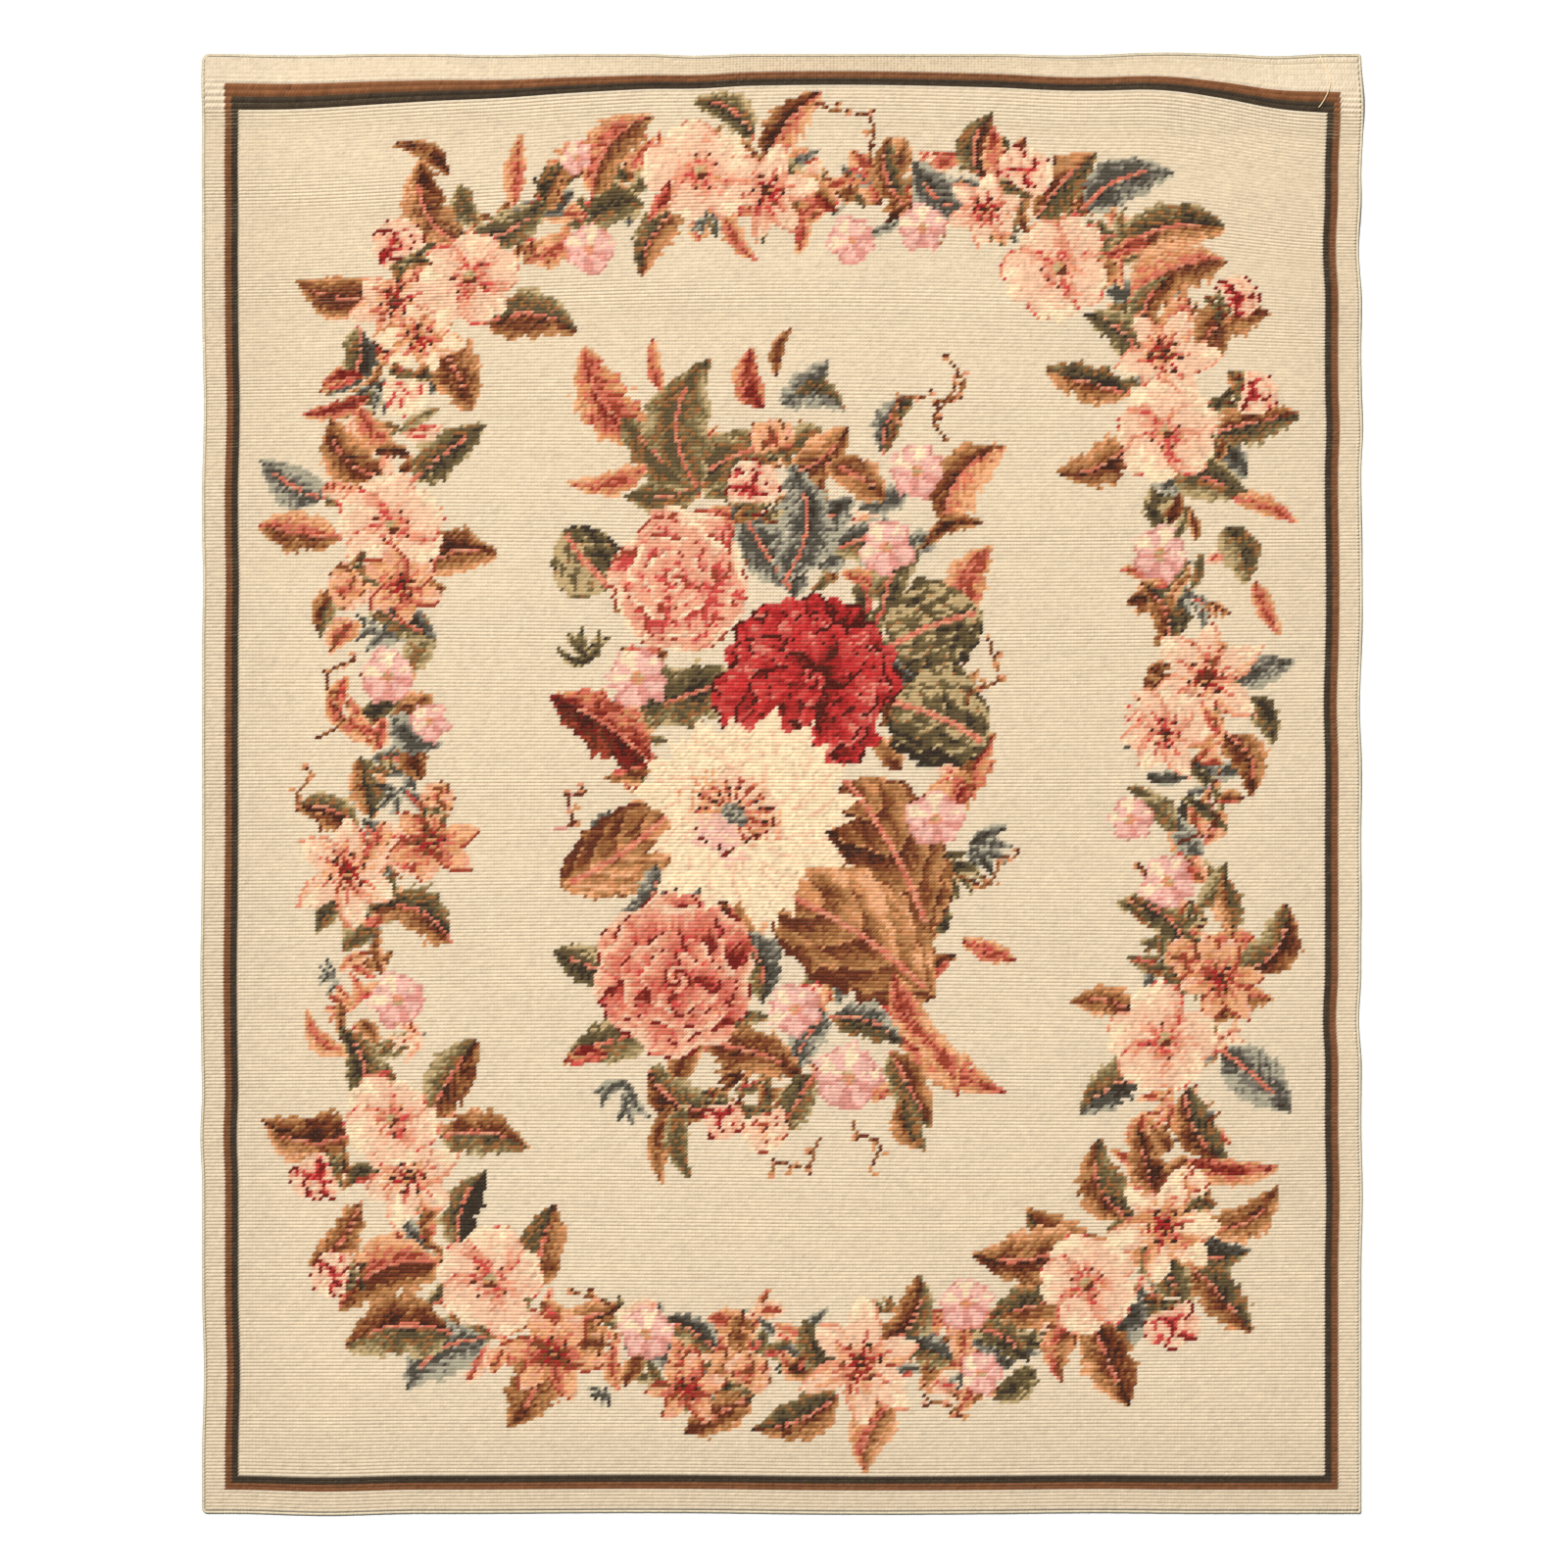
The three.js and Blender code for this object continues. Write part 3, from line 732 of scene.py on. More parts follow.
# %% Large leaves
LEAVES = table("""
motif    wools         x     y     size turn
leaf     rust-bronze   -470  532   84   168
leaf     bronze-rust   -358  622   105  112
blade    rust          -380  668   70   150
leaf     green-fern    -284  596   92   28
leaf     rust-olive    -262  480   96   -8
leaf     rust-bronze   -348  432   96   -62
leaf     green-slate   -462  446   84   245
blade    ember         -470  396   74   195
leaf     bronze-green  -232  632   60   60
blade    flame         -278  652   78   84
leaf     flame-bronze  -168  660   104  52
leaf     rust-green    -126  566   84   -120
leaf     green-fern    -176  596   66   200
leaf     olive-fern    -62   694   78   148
leaf     flame-rust    14    684   96   52
leaf     bronze-ember  30    612   66   -30
blade    flame         -40   574   70   -60
leaf     rust-green    120   640   72   100
leaf     slate-mist    172   624   84   140
leaf     green-rust    216   668   70   80
leaf     ember-flame   236   654   72   110
leaf     rust-green    300   628   96   48
leaf     slate-mist    366   624   104  22
leaf     bronze-green  412   578   116  14
leaf     flame-bronze  418   532  112  24
leaf     rust-green    300   -470 96   150
leaf     green-slate   446   -476 100  -20
leaf     bronze-rust   484   -446 90   30
leaf     green-fern    404   -524 90   -60
leaf     bronze-rust   380   -404 96   100
leaf     green-slate   356   -566 90   -120
leaf     rust-green    262   -544 90   200
leaf     green-fern    316   556   80   -150
leaf     rust-bronze   476   476   92   34
leaf     green-rust    396   500   70   70
leaf     bronze-green  322   424   94   165
leaf     green-fern    348   468   80   140
leaf     bronze-rust   330   348   90   205
leaf     rust-green    502   380   88   12
leaf     green-fern    450   324   88   -25
blade    flame         508   288   74   -22
leaf     olive-green   478   240   66   -70
leaf     rust-green    390   176   76   108
blade    flame         512   182   66   -65
blade    bronze        420   200   50   60
leaf     slate-mist    510   116   64   20
leaf     olive-fern    504   64    58   -62
leaf     bronze-rust   480   18    72   -68
leaf     slate-green   386   50    60   200
leaf     green-fern    388   -146  84   152
leaf     olive-rust    508   -160  84   58
leaf     bronze-green  470   -126  60   100
leaf     rust-bronze   340   -236  72   168
leaf     rust-flame    486   -236  66   20
leaf     slate-mist    500   -312  98   -42
leaf     green-slate   350   -322  84   212
leaf     rust-green    448   -358  92   -62
blade    flame-ember   474   -400  98   -4
leaf     rust-green    352   -414  96   112
leaf     bronze-rust   254   -486  110  188
leaf     rust-green    464   -546  92   -48
leaf     bronze-rust   346   -612  96   -66
leaf     rust-flame    300   -598  66   -100
leaf     green-fern    228   -590  74   -30
leaf     olive-rust    124   -556  92   62
leaf     green-slate   150   -596  66   160
leaf     rust-green    14    -662  96   202
leaf     bronze-flame  102   -690  76   -112
leaf     green-slate   -98   -580  72   150
leaf     rust-bronze   -66   -664  80   -150
leaf     green-fern    40    -590  64   120
leaf     slate-mist    -354  -612  100  214
leaf     green-rust    -404  -586  112  188
leaf     flame-bronze  -412  -530  118  204
leaf     rust-bronze   -276  -630  98   -104
leaf     rust-green    -250  -488  92   76
leaf     green-bottle  -322  -452  92   74
leaf     bronze-rust   -202  -560  70   20
leaf     rust-bronze   -470  -476  84   232
leaf     bronze-rust   -498  -362  96   172
leaf     olive-rust    -346  -312  96   58
leaf     green-bronze  -312  -380  94   -8
leaf     green-fern    -452  -296  84   108
blade    flame         -478  -262  66   130
leaf     rust-green    -392  -150  92   160
leaf     olive-rust    -478  -34   70   160
leaf     bronze-green  -438  -2    66   100
leaf     green-fern    -470  -134  60   230
leaf     slate-mist    -384  56    62   -30
leaf     green-slate   -396  168   76   -28
leaf     green-fern    -350  346   96   38
leaf     rust-bronze   -448  352   84   130
leaf     slate-mist    -516  318   78   148
leaf     rust-flame    -508  262   86   172
leaf     bronze-rust   -336  232   78   10
leaf     green-rust    -470  176   60   240
leaf     ember-flame   -170  408   124  128
lobed    green-olive   -86   352   170  84
blade    flame         -184  324   88   192
blade    flame         -130  438   60   100
round    fern          -204  236   78   130
sprig    fern          -202  128   66   100
leaf     wine-ember    -190  56    128  146
broad    bronze        -176  -72   136  214
leaf     green-fern    -98   96    108  200
leaf     ember         -26   424  66   100
blade    bronze        4     452  56   70
leaf     slate-mist    24    420   66   42
leaf     slate-green   40    398   56   -15
leaf     bronze-rust   40    350   76   40
leaf     rust-bronze   78    318   74   -30
leaf     green-slate   88    262   78   20
leaf     slate-mist    -20   256   110  122
leaf     mist-slate    42    262   104  48
leaf     slate-mist    6     276   122  86
leaf     slate-green   124   378   70   60
leaf     flame-rust    204   314   108  52
leaf     flame         206   214   82   70
blade    rust          182   262   70   20
leaf     flame-ember   196   -6    84   48
leaf     rust-ember    214   22    66   70
round    fern          162   164   104  20
round    fern          168   64    110  -25
leaf     green-fern    128   218   76   60
sprig    slate         200   -64   76   -30
sprig    fern          178   -88   66   -80
broad    rust          112   -80  186  -62
broad    bronze        78    -170  200  -34
leaf     bronze-rust   -58   -160  116  -88
leaf     green-slate   -34   -196  80   -70
leaf     slate-mist    -150  -116  72   62
leaf     fern          -206  -192  74   158
leaf     green-fern    -178  -270  92   196
blade    ember-flame   176   -262 170  -46
blade    flame         150   -286 110  -50
leaf     green-bronze  136   -322  88   -62
leaf     slate-green   90    -262  80   -20
leaf     slate-mist    24    -276  84   -120
sprig    mist          -160  -318  74   -110
leaf     green-rust    -98   -322  94   -24
leaf     rust-bronze   -28   -292  108  -18
blade    bronze        -120  -380  84   -98
blade    olive         -98   -378  80   -84
leaf     green-fern    16    -338  70   -120
leaf     rust-green    140   -356  60   -70
""")
print(len(LEAVES), "large leaves")

# %% Flowers and twigs
FLOWERS = table("""
motif    wools         x     y     size turn
twig     twig          -222  640   60   80
twig     twig          84    682   90   130
twig     lilac_twig    448   -34   80   60
twig     twig          -470  90    90   70
twig     twig          -500  -20   66   100
twig     twig          140   396   96   40
twig     twig          176   402   80   80
twig     twig          216   112  70   66
twig     twig          216   -96   70   20
twig     lilac_twig    -222  -30   50   60
twig     twig          92    -378 56   -70
twig     twig          20    -396 60   -150
twig     twig          380   -120  60   90
twig     twig          -190  -560  70   120
twig     twig          160   -640  70   -60
twig     twig          -60   -600  80   40
trumpet  lilac         -202  562   56   10
trumpet  lilac         -216  660   36   40
trumpet  lilac         148   580   52   20
trumpet  lilac         74    566   52   50
trumpet  lilac         398   242   62   0
trumpet  lilac         368   -38   48   30
trumpet  lilac         406   -104  60   60
trumpet  lilac         194   -546  58   20
trumpet  lilac         210   -620  46   70
trumpet  lilac         -142  -578  60   10
trumpet  lilac         -404  -228  60   40
trumpet  lilac         -414  112   60   20
trumpet  lilac         -370  64    44   60
trumpet  lilac         142   330   60   10
trumpet  lilac         110   250   60   50
trumpet  lilac         162   -38   62   20
trumpet  lilac         14    -240  58   60
trumpet  lilac         70    -310  72   10
trumpet  lilac         -152  112   66   40
lily     peach         -406  512   58   20
lily     ivory         -380  470   50   50
blossom  blossom       -328  536   66   12
bud      rosebud       -404  578   64   118
bud      blossom       -394  410   56   -100
slim     ember         -462  420   50   200
blossom  blossom       -84   640   68   30
lily     blossom       -14   618   56   70
slim     ember         -130  610   50   240
bud      rosebud       256   640   62   60
lily     blossom       214   600   44   20
blossom  blossom       292   540   68   50
bud      rosebud       480   516   52   30
lily     peach         404   450   60   10
bud      rosebud       498   412   54   -10
blossom  blossom       404   370   66   36
slim     ember         366   560   50   20
lily     peach         446   110   68   25
lily     blossom       404   52    56   60
slim     melon         452   60    44   -60
bud      melon         426   -188  60   40
lily     melon         462   -204  50   10
blossom  blossom       404   -268  68   22
bud      peach         426   -424  54   120
lily     ivory         404   -466  66   15
blossom  blossom       322   -526  66   40
bud      rosebud       410   -570  60   -70
lily     peach         84    -608  72   20
bud      melon         -36   -620  54   60
lily     melon         -100  -636  44   10
blossom  blossom       -306  -524  70   10
lily     melon         -240  -600  58   50
bud      rosebud       -470  -516  54   170
lily     peach         -392  -416  62   20
blossom  blossom       -410  -356  60   60
bud      rosebud       -488  -414  60   200
lily     peach         -456  -92   66   30
lily     melon         -368  -62   52   20
bud      melon         -362  -16   40   80
slim     melon         -430  -60   50   60
blossom  blossom       -410  268   70   24
bud      melon         -452  206   56   225
lily     melon         -400  206   48   -80
bud      melon         -10   362   50   95
bud      rosebud       -32   312  62   92
slim     ember         218   -176  62   -20
slim     ember         -206  -294  50   190
bud      rosebud       -64   -352  50   -80
bud      peach         -16   -362  56   -70
rose     pink          -112  214  76   20
rose     coral         -110  -208 84   50
peony    crimson       34    112  98   70
star     star          -36   -32   112  5
""")
print(len(FLOWERS), "flowers and twigs")

# %% Work the motifs into the chart
FIRST_SEED = 100
for seed, line in enumerate(LEAVES + FLOWERS, FIRST_SEED):
    MOTIFS[line["motif"]](line["x"], line["y"], line["size"], line["turn"], line["wools"], seed)
print(f"{(chart >= FIRST_FLOWER_WOOL).mean():.0%} of the stitches are worked in colour")

# %% [markdown]
# ## One helper for nodes
#
# A node is always the same three things: its kind, its settings and what goes into its sockets.
# One helper covers shader trees and Geometry Nodes alike.


# %% Add a node
def add(tree, kind, inputs=None, **settings):
    """Add a node. Settings are its properties, and inputs its sockets: a value or an output."""
    made = tree.nodes.new(kind)
    for name, value in settings.items():
        setattr(made, name, value)
    for name, value in (inputs or {}).items():
        socket = made.inputs[name]
        if isinstance(value, bpy.types.NodeSocket):
            tree.links.new(value, socket)
        else:
            socket.default_value = value
    return made


def new_material(name):
    """An empty material and its tree, with an output node to link to."""
    material = bpy.data.materials.new(name)
    material.use_nodes = True
    tree = material.node_tree
    tree.nodes.clear()
    return material, tree


print("Helpers for nodes:", add.__name__, "and", new_material.__name__)

# %% [markdown]
# ## Dyed wool yarn
#
# Rug wool is three or four soft plies, dyed right through. It has no shine, only a faint halo of
# loose fibres, so the finish is rough with a little sheen. An image could hold the design, but it
# would blur close up. Here each stitch carries its own colour in an attribute, which stays sharp
# at any distance and takes no texture.

# %% Wool yarn
PLY_MM, FIBRE_MM, WEAR_MM, RELIEF_MM = 0.8, 1.1, 70.0, 0.4
# The grey-green painted as shade on the outer side of the edging.
PAINTED_SHADE_GREY = "#808373"
WAVE_REPEAT = 0.444  # a diagonal wave of scale 1 repeats after this much


def wool_material(name):
    """Wool in the colour of each stitch: matt, ribbed by its plies, greyed by painted shade where a shape asks
    for it.
    """
    material, tree = new_material(name)
    # Dyed, spun wool: the colour is the stitch's own, and nothing in it is glossy.
    wool = add(tree, "ShaderNodeAttribute", attribute_name="wool")
    along = add(tree, "ShaderNodeUVMap", uv_map="Stitch")
    where = add(tree, "ShaderNodeTexCoord")
    plies = add(
        tree,
        "ShaderNodeTexWave",
        {"Vector": along.outputs["UV"], "Scale": WAVE_REPEAT / PLY_MM, "Distortion": 3.0, "Detail": 2.0},
        bands_direction="DIAGONAL",
    )
    # Real fibres are 0.03 mm across. They are drawn coarser, because such a fine grain never shows.
    fuzz = add(
        tree,
        "ShaderNodeTexNoise",
        {"Vector": where.outputs["Object"], "Scale": 1 / (FIBRE_MM * MM), "Detail": 3.0},
    )
    relief = add(
        tree,
        "ShaderNodeMix",
        {0: 0.5, 2: plies.outputs["Fac"], 3: fuzz.outputs["Fac"]},
        data_type="FLOAT",
    )
    bump = add(
        tree,
        "ShaderNodeBump",
        {"Strength": 0.35, "Distance": RELIEF_MM * MM, "Height": relief.outputs[0]},
    )
    # Handling and light have faded the wool by a hair in patches as wide as a hand.
    uneven = add(
        tree,
        "ShaderNodeTexNoise",
        {"Vector": where.outputs["Object"], "Scale": 1 / (WEAR_MM * MM), "Detail": 4.0},
    )
    worn = add(
        tree,
        "ShaderNodeMapRange",
        {"Value": uneven.outputs["Fac"], "From Min": 0.3, "From Max": 0.7, "To Min": 0.985, "To Max": 1.015},
    )
    toned = add(
        tree,
        "ShaderNodeMix",
        {0: 1.0, 6: wool.outputs["Color"], 7: worn.outputs["Result"]},
        data_type="RGBA",
        blend_type="MULTIPLY",
    )
    # Painted shade greys the outer and lower side of the edging. The shapes say how much.
    darkening = add(tree, "ShaderNodeAttribute", attribute_name="darkening")
    painted_shade_mix = add(
        tree,
        "ShaderNodeMix",
        {0: darkening.outputs["Fac"], 6: toned.outputs[2], 7: linear(PAINTED_SHADE_GREY)},
        data_type="RGBA",
    )
    surface = add(
        tree,
        "ShaderNodeBsdfPrincipled",
        {
            "Base Color": painted_shade_mix.outputs[2],
            "Roughness": 0.9,
            "Sheen Weight": 0.04,
            "Sheen Roughness": 0.5,
            "Specular IOR Level": 0.12,
            "Normal": bump.outputs["Normal"],
        },
    )
    add(tree, "ShaderNodeOutputMaterial", {"Surface": surface.outputs["BSDF"]})
    return material


stitch_wool = wool_material("dyed wool yarn")
edging_wool = wool_material("edging wool yarn")
print("Wool materials:", stitch_wool.name, "and", edging_wool.name)

# %% [markdown]
# ## Cotton canvas
#
# The canvas is undyed cotton, stiffened with size, and greyer than the wool. It shows only as
# thin shade between the stitches and on the underside. A plain rough surface with two close
# tones is enough for that.


# %% Canvas
SLUB_MM = 3.3
CANVAS_SHADE, CANVAS_LIGHT = "#8A8064", "#B4A888"


def canvas_material():
    """Undyed cotton: matt, and mottled by the slubs of its yarn."""
    material, tree = new_material("cotton rug canvas")
    # Sized cotton reflects evenly, so there is no sheen and almost no highlight.
    where = add(tree, "ShaderNodeTexCoord")
    slubs = add(
        tree,
        "ShaderNodeTexNoise",
        {"Vector": where.outputs["Object"], "Scale": 1 / (SLUB_MM * MM), "Detail": 4.0},
    )
    colour = add(
        tree,
        "ShaderNodeMix",
        {0: slubs.outputs["Fac"], 6: linear(CANVAS_SHADE), 7: linear(CANVAS_LIGHT)},
        data_type="RGBA",
    )
    surface = add(
        tree,
        "ShaderNodeBsdfPrincipled",
        {"Base Color": colour.outputs[2], "Roughness": 0.95, "Specular IOR Level": 0.2},
    )
    add(tree, "ShaderNodeOutputMaterial", {"Surface": surface.outputs["BSDF"]})
    return material


canvas_cotton = canvas_material()
print("Canvas material:", canvas_cotton.name)

# %% [markdown]
# ## The canvas sheet
#
# The canvas is one flat sheet, 1.4 mm thick, that lies over the ridges. A Solidify modifier on a
# grid would do, but its thickness would follow each slope. Here both faces come from the same
# function as the solids, so the sheet's underside stands on the floor where theirs does. Its
# squares are small across the ridges and wide along them, which saves faces.


# %% The canvas sheet
def stops(start, end, step):
    """Evenly spaced places from start to end, no farther apart than a step."""
    return np.linspace(start, end, int(np.ceil(abs(end - start) / step)) + 1)


def mesh_object(name, points, faces, material):
    """A smooth object from points in metres and faces."""
    mesh = bpy.data.meshes.new(name)
    mesh.from_pydata(points.tolist(), [], [list(map(int, face)) for face in faces])
    mesh.update()
    mesh.materials.append(material)
    made = bpy.data.objects.new(name, mesh)
    bpy.context.scene.collection.objects.link(made)
    mesh.polygons.foreach_set("use_smooth", np.ones(len(mesh.polygons), bool))
    return made


CANVAS_STEP_ACROSS, CANVAS_STEP_ALONG = 20.0, 11.0
xs = stops(-PANEL_WIDTH / 2, PANEL_WIDTH / 2, CANVAS_STEP_ACROSS)
ys = stops(-PANEL_LENGTH / 2, PANEL_LENGTH / 2, CANVAS_STEP_ALONG)
grid_x, grid_y = np.meshgrid(xs, ys)
under = as_it_lies(grid_x, grid_y, 0.0).reshape(-1, 3)
over = as_it_lies(grid_x, grid_y, CANVAS_THICK).reshape(-1, 3)
wide, tall = len(xs), len(ys)
corner = np.arange(wide * tall).reshape(tall, wide)
a, b, c, d = corner[:-1, :-1], corner[:-1, 1:], corner[1:, 1:], corner[1:, :-1]
count = wide * tall
top_faces = np.stack([a, b, c, d], -1).reshape(-1, 4) + count
low_faces = np.stack([a, d, c, b], -1).reshape(-1, 4)
rim = np.concatenate([corner[0, :-1], corner[:-1, -1], corner[-1, :0:-1], corner[:0:-1, 0]])
after = np.roll(rim, -1)
side_faces = np.stack([rim, after, after + count, rim + count], -1)
canvas_points = np.concatenate([under, over])
canvas_faces = np.concatenate([top_faces, low_faces, side_faces])
canvas = mesh_object("canvas", canvas_points, canvas_faces, canvas_cotton)
print("Canvas faces:", len(canvas.data.polygons))

# %% [markdown]
# ## One stitch
#
# A needlepoint stitch crosses one thread of the canvas on the slant and swells between its two
# ends. It could be a bent tube, but there are 145,856 of them, so it has to be light: six outer
# points and a top, six triangles in all. They are shaded flat, because the small flat sides catch
# the light one by one, and that gives the rows of the rug their ribbed look.


# %% The stitch
def stitch_shape():
    """A slanted pillow of six triangles, one crossing wide and long."""
    lean, shoulder = 0.28, 0.45
    points = np.array([
        [-0.5 - lean, -0.5, 0], [0.5 - lean, -0.5, 0], [0.5, 0, shoulder],
        [0.5 + lean, 0.5, 0], [-0.5 + lean, 0.5, 0], [-0.5, 0, shoulder], [0, 0, 1],
    ])
    faces = [(k, (k + 1) % 6, 6) for k in range(6)]
    mesh = bpy.data.meshes.new("stitch shape")
    scale = np.array([STITCH_WIDE, STITCH_LONG, STITCH_HIGH]) * MM
    mesh.from_pydata((points * scale).tolist(), [], faces)
    uv = mesh.uv_layers.new(name="Stitch")
    for loop in mesh.loops:
        x, y, _ = points[loop.vertex_index]
        uv.data[loop.index].uv = (x * STITCH_WIDE, y * STITCH_LONG)
    return bpy.data.objects.new("stitch shape", mesh)


stitch = stitch_shape()
print("Triangles in one stitch:", len(stitch.data.polygons))

# %% [markdown]
# ## One turn of the edging
#
# The raw sides are bound with yarn that goes over the edge and back again, turn beside turn. One
# turn is a narrow band bent round the edge, with a rounded back and a slant of half a stitch. It
# is open below, where it lies on the canvas and can't be seen. Its section is written from the
# worked side over the top to the floor, each point as how far out and how high it stands.

# %% The turn of yarn
WRAP_SECTION = np.array([(-3.1, 3.5), (-2.2, 4.2), (-0.8, 4.2), (0.0, 2.2), (-0.8, 0.0), (-2.6, 0.0)])
# How much painted shade greys each point of the section: none on top, full on the outer side and below.
WRAP_PAINTED_SHADE = (0.0, 0.0, 0.5, 1.0, 1.0, 0.6)
WRAP_MIDDLE, YARN_SWELL, SECTION_STEP = (-1.5, 2.1), 0.45, 1.5


def wrap_shape():
    """One turn of yarn round the edge, seen along it as a bent band."""
    lean = np.linspace(0.5, -0.5, len(WRAP_SECTION))
    points, uvs = [], []
    for k, point in enumerate(WRAP_SECTION):
        away = (point - WRAP_MIDDLE) / np.linalg.norm(point - WRAP_MIDDLE)
        for side, swell in ((-0.5, 0.0), (0.0, 1.0), (0.5, 0.0)):
            out, high = point + away * (YARN_SWELL * (swell - 1))
            points.append([(side + 0.5 * lean[k]) * STITCH_LONG, out, max(high, 0)])
            uvs.append((side * STITCH_LONG, k * SECTION_STEP))
    faces = []
    for k in range(len(WRAP_SECTION) - 1):
        for s in range(2):
            first = k * 3 + s
            faces.append((first, first + 1, first + 4, first + 3))
    mesh = bpy.data.meshes.new("wrap shape")
    mesh.from_pydata((np.array(points) * MM).tolist(), [], faces)
    mesh.polygons.foreach_set("use_smooth", np.ones(len(faces), bool))
    uv = mesh.uv_layers.new(name="Stitch")
    for loop in mesh.loops:
        uv.data[loop.index].uv = uvs[loop.vertex_index]
    # Each point carries its painted shade, which the wool material reads.
    darkening = mesh.attributes.new("darkening", "FLOAT", "POINT")
    darkening.data.foreach_set("value", np.repeat(WRAP_PAINTED_SHADE, 3))
    return bpy.data.objects.new("wrap shape", mesh)


wrap = wrap_shape()
print("Faces in one turn of yarn:", len(wrap.data.polygons))

# %% [markdown]
# ## The stitching tree
#
# No two hand-worked stitches are alike: one lies fuller, the next a little askew. Geometry Nodes
# copy one shape onto every crossing, lean each copy with the cloth and give it a size and a twist
# by chance, from a fixed seed. A Python loop could write the same points, but the tree keeps the
# rule in one place, and the edging uses it again with another shape. Realize Instances turns the
# copies into real faces, which the export needs, and Set Material dyes them.


# %% The stitching tree
def stitching_tree():
    """A tree that copies a shape onto points, by their own lie, spread and wool."""
    tree = bpy.data.node_groups.new("work the stitches", "GeometryNodeTree")
    face = tree.interface
    face.new_socket("Crossings", in_out="INPUT", socket_type="NodeSocketGeometry")
    for name, kind in (
        ("Shape", "NodeSocketObject"),
        ("Wool", "NodeSocketMaterial"),
        ("Loosest", "NodeSocketFloat"),
        ("Tightest", "NodeSocketFloat"),
        ("Twist", "NodeSocketFloat"),
        ("Seed", "NodeSocketInt"),
    ):
        face.new_socket(name, in_out="INPUT", socket_type=kind)
    face.new_socket("Stitches", in_out="OUTPUT", socket_type="NodeSocketGeometry")
    given = add(tree, "NodeGroupInput").outputs
    shape = add(tree, "GeometryNodeObjectInfo", {"Object": given["Shape"]})
    lie = add(tree, "GeometryNodeInputNamedAttribute", {"Name": "lie"}, data_type="FLOAT_VECTOR")
    spread = add(tree, "GeometryNodeInputNamedAttribute", {"Name": "spread"}, data_type="FLOAT_VECTOR")
    uneven = add(
        tree,
        "FunctionNodeRandomValue",
        {"Min": given["Tightest"], "Max": given["Loosest"], "Seed": given["Seed"]},
        data_type="FLOAT",
    )
    fuller = add(tree, "ShaderNodeCombineXYZ", {"X": 1.0, "Y": 1.0, "Z": uneven.outputs[1]})
    size = add(
        tree,
        "ShaderNodeVectorMath",
        {0: spread.outputs["Attribute"], 1: fuller.outputs["Vector"]},
        operation="MULTIPLY",
    )
    less = add(tree, "ShaderNodeMath", {0: given["Twist"], 1: -1.0}, operation="MULTIPLY")
    turn = add(
        tree,
        "FunctionNodeRandomValue",
        {"Min": less.outputs["Value"], "Max": given["Twist"], "Seed": given["Seed"]},
        data_type="FLOAT",
    )
    twist = add(tree, "ShaderNodeCombineXYZ", {"Z": turn.outputs[1]})
    lean = add(
        tree,
        "ShaderNodeVectorMath",
        {0: lie.outputs["Attribute"], 1: twist.outputs["Vector"]},
        operation="ADD",
    )
    facing = add(tree, "FunctionNodeEulerToRotation", {"Euler": lean.outputs["Vector"]})
    copied = add(
        tree,
        "GeometryNodeInstanceOnPoints",
        {
            "Points": given["Crossings"],
            "Instance": shape.outputs["Geometry"],
            "Rotation": facing.outputs["Rotation"],
            "Scale": size.outputs["Vector"],
        },
    )
    real = add(tree, "GeometryNodeRealizeInstances", {"Geometry": copied.outputs["Instances"]})
    dyed = add(
        tree,
        "GeometryNodeSetMaterial",
        {"Geometry": real.outputs["Geometry"], "Material": given["Wool"]},
    )
    add(tree, "NodeGroupOutput", {"Stitches": dyed.outputs["Geometry"]})
    return tree


stitching = stitching_tree()
SOCKETS = {s.name: s.identifier for s in stitching.interface.items_tree if s.in_out == "INPUT"}
print("Stitching tree:", len(stitching.nodes), "nodes, with inputs", ", ".join(SOCKETS))


# %% Stitches as a plain mesh
def work(name, places, lies, spreads, wools, **inputs):
    """Copy a shape onto places of the cloth, and return the stitches as one plain mesh."""
    points = bpy.data.meshes.new(name + " points")
    points.vertices.add(len(places))
    points.vertices.foreach_set("co", places.astype(np.float32).ravel())
    for attribute, values in (("lie", lies), ("spread", spreads)):
        made = points.attributes.new(attribute, "FLOAT_VECTOR", "POINT")
        made.data.foreach_set("vector", values.astype(np.float32).ravel())
    made = points.attributes.new("wool", "FLOAT_COLOR", "POINT")
    made.data.foreach_set("color", wools.astype(np.float32).ravel())
    holder = bpy.data.objects.new(name + " points", points)
    bpy.context.scene.collection.objects.link(holder)
    modifier = holder.modifiers.new("stitches", "NODES")
    modifier.node_group = stitching
    for key, value in inputs.items():
        modifier[SOCKETS[key]] = value
    graph = bpy.context.evaluated_depsgraph_get()
    mesh = bpy.data.meshes.new_from_object(holder.evaluated_get(graph), depsgraph=graph)
    mesh.name = name
    bpy.data.objects.remove(holder)
    bpy.data.meshes.remove(points)
    made = bpy.data.objects.new(name, mesh)
    bpy.context.scene.collection.objects.link(made)
    return made


print("Shapes to work with:", stitch.name, "and", wrap.name)

# %% [markdown]
# ## Work the panel
#
# The needle goes row by row over the whole canvas. Each stitch needs its place on the cloth, the
# slope of the cloth there, the skew of its row and its wool. The slopes are measured over half a
# millimetre on each side. The panel is worked in six fields of one sheet, so that no piece grows
# past 200,000 triangles. Hand-dyed wool is never one flat tone, so each stitch is a little
# lighter or darker than the last, and the coloured wools more so than the cream. The margins
# are a little darker than the middle, most of all on the left and at the bottom.

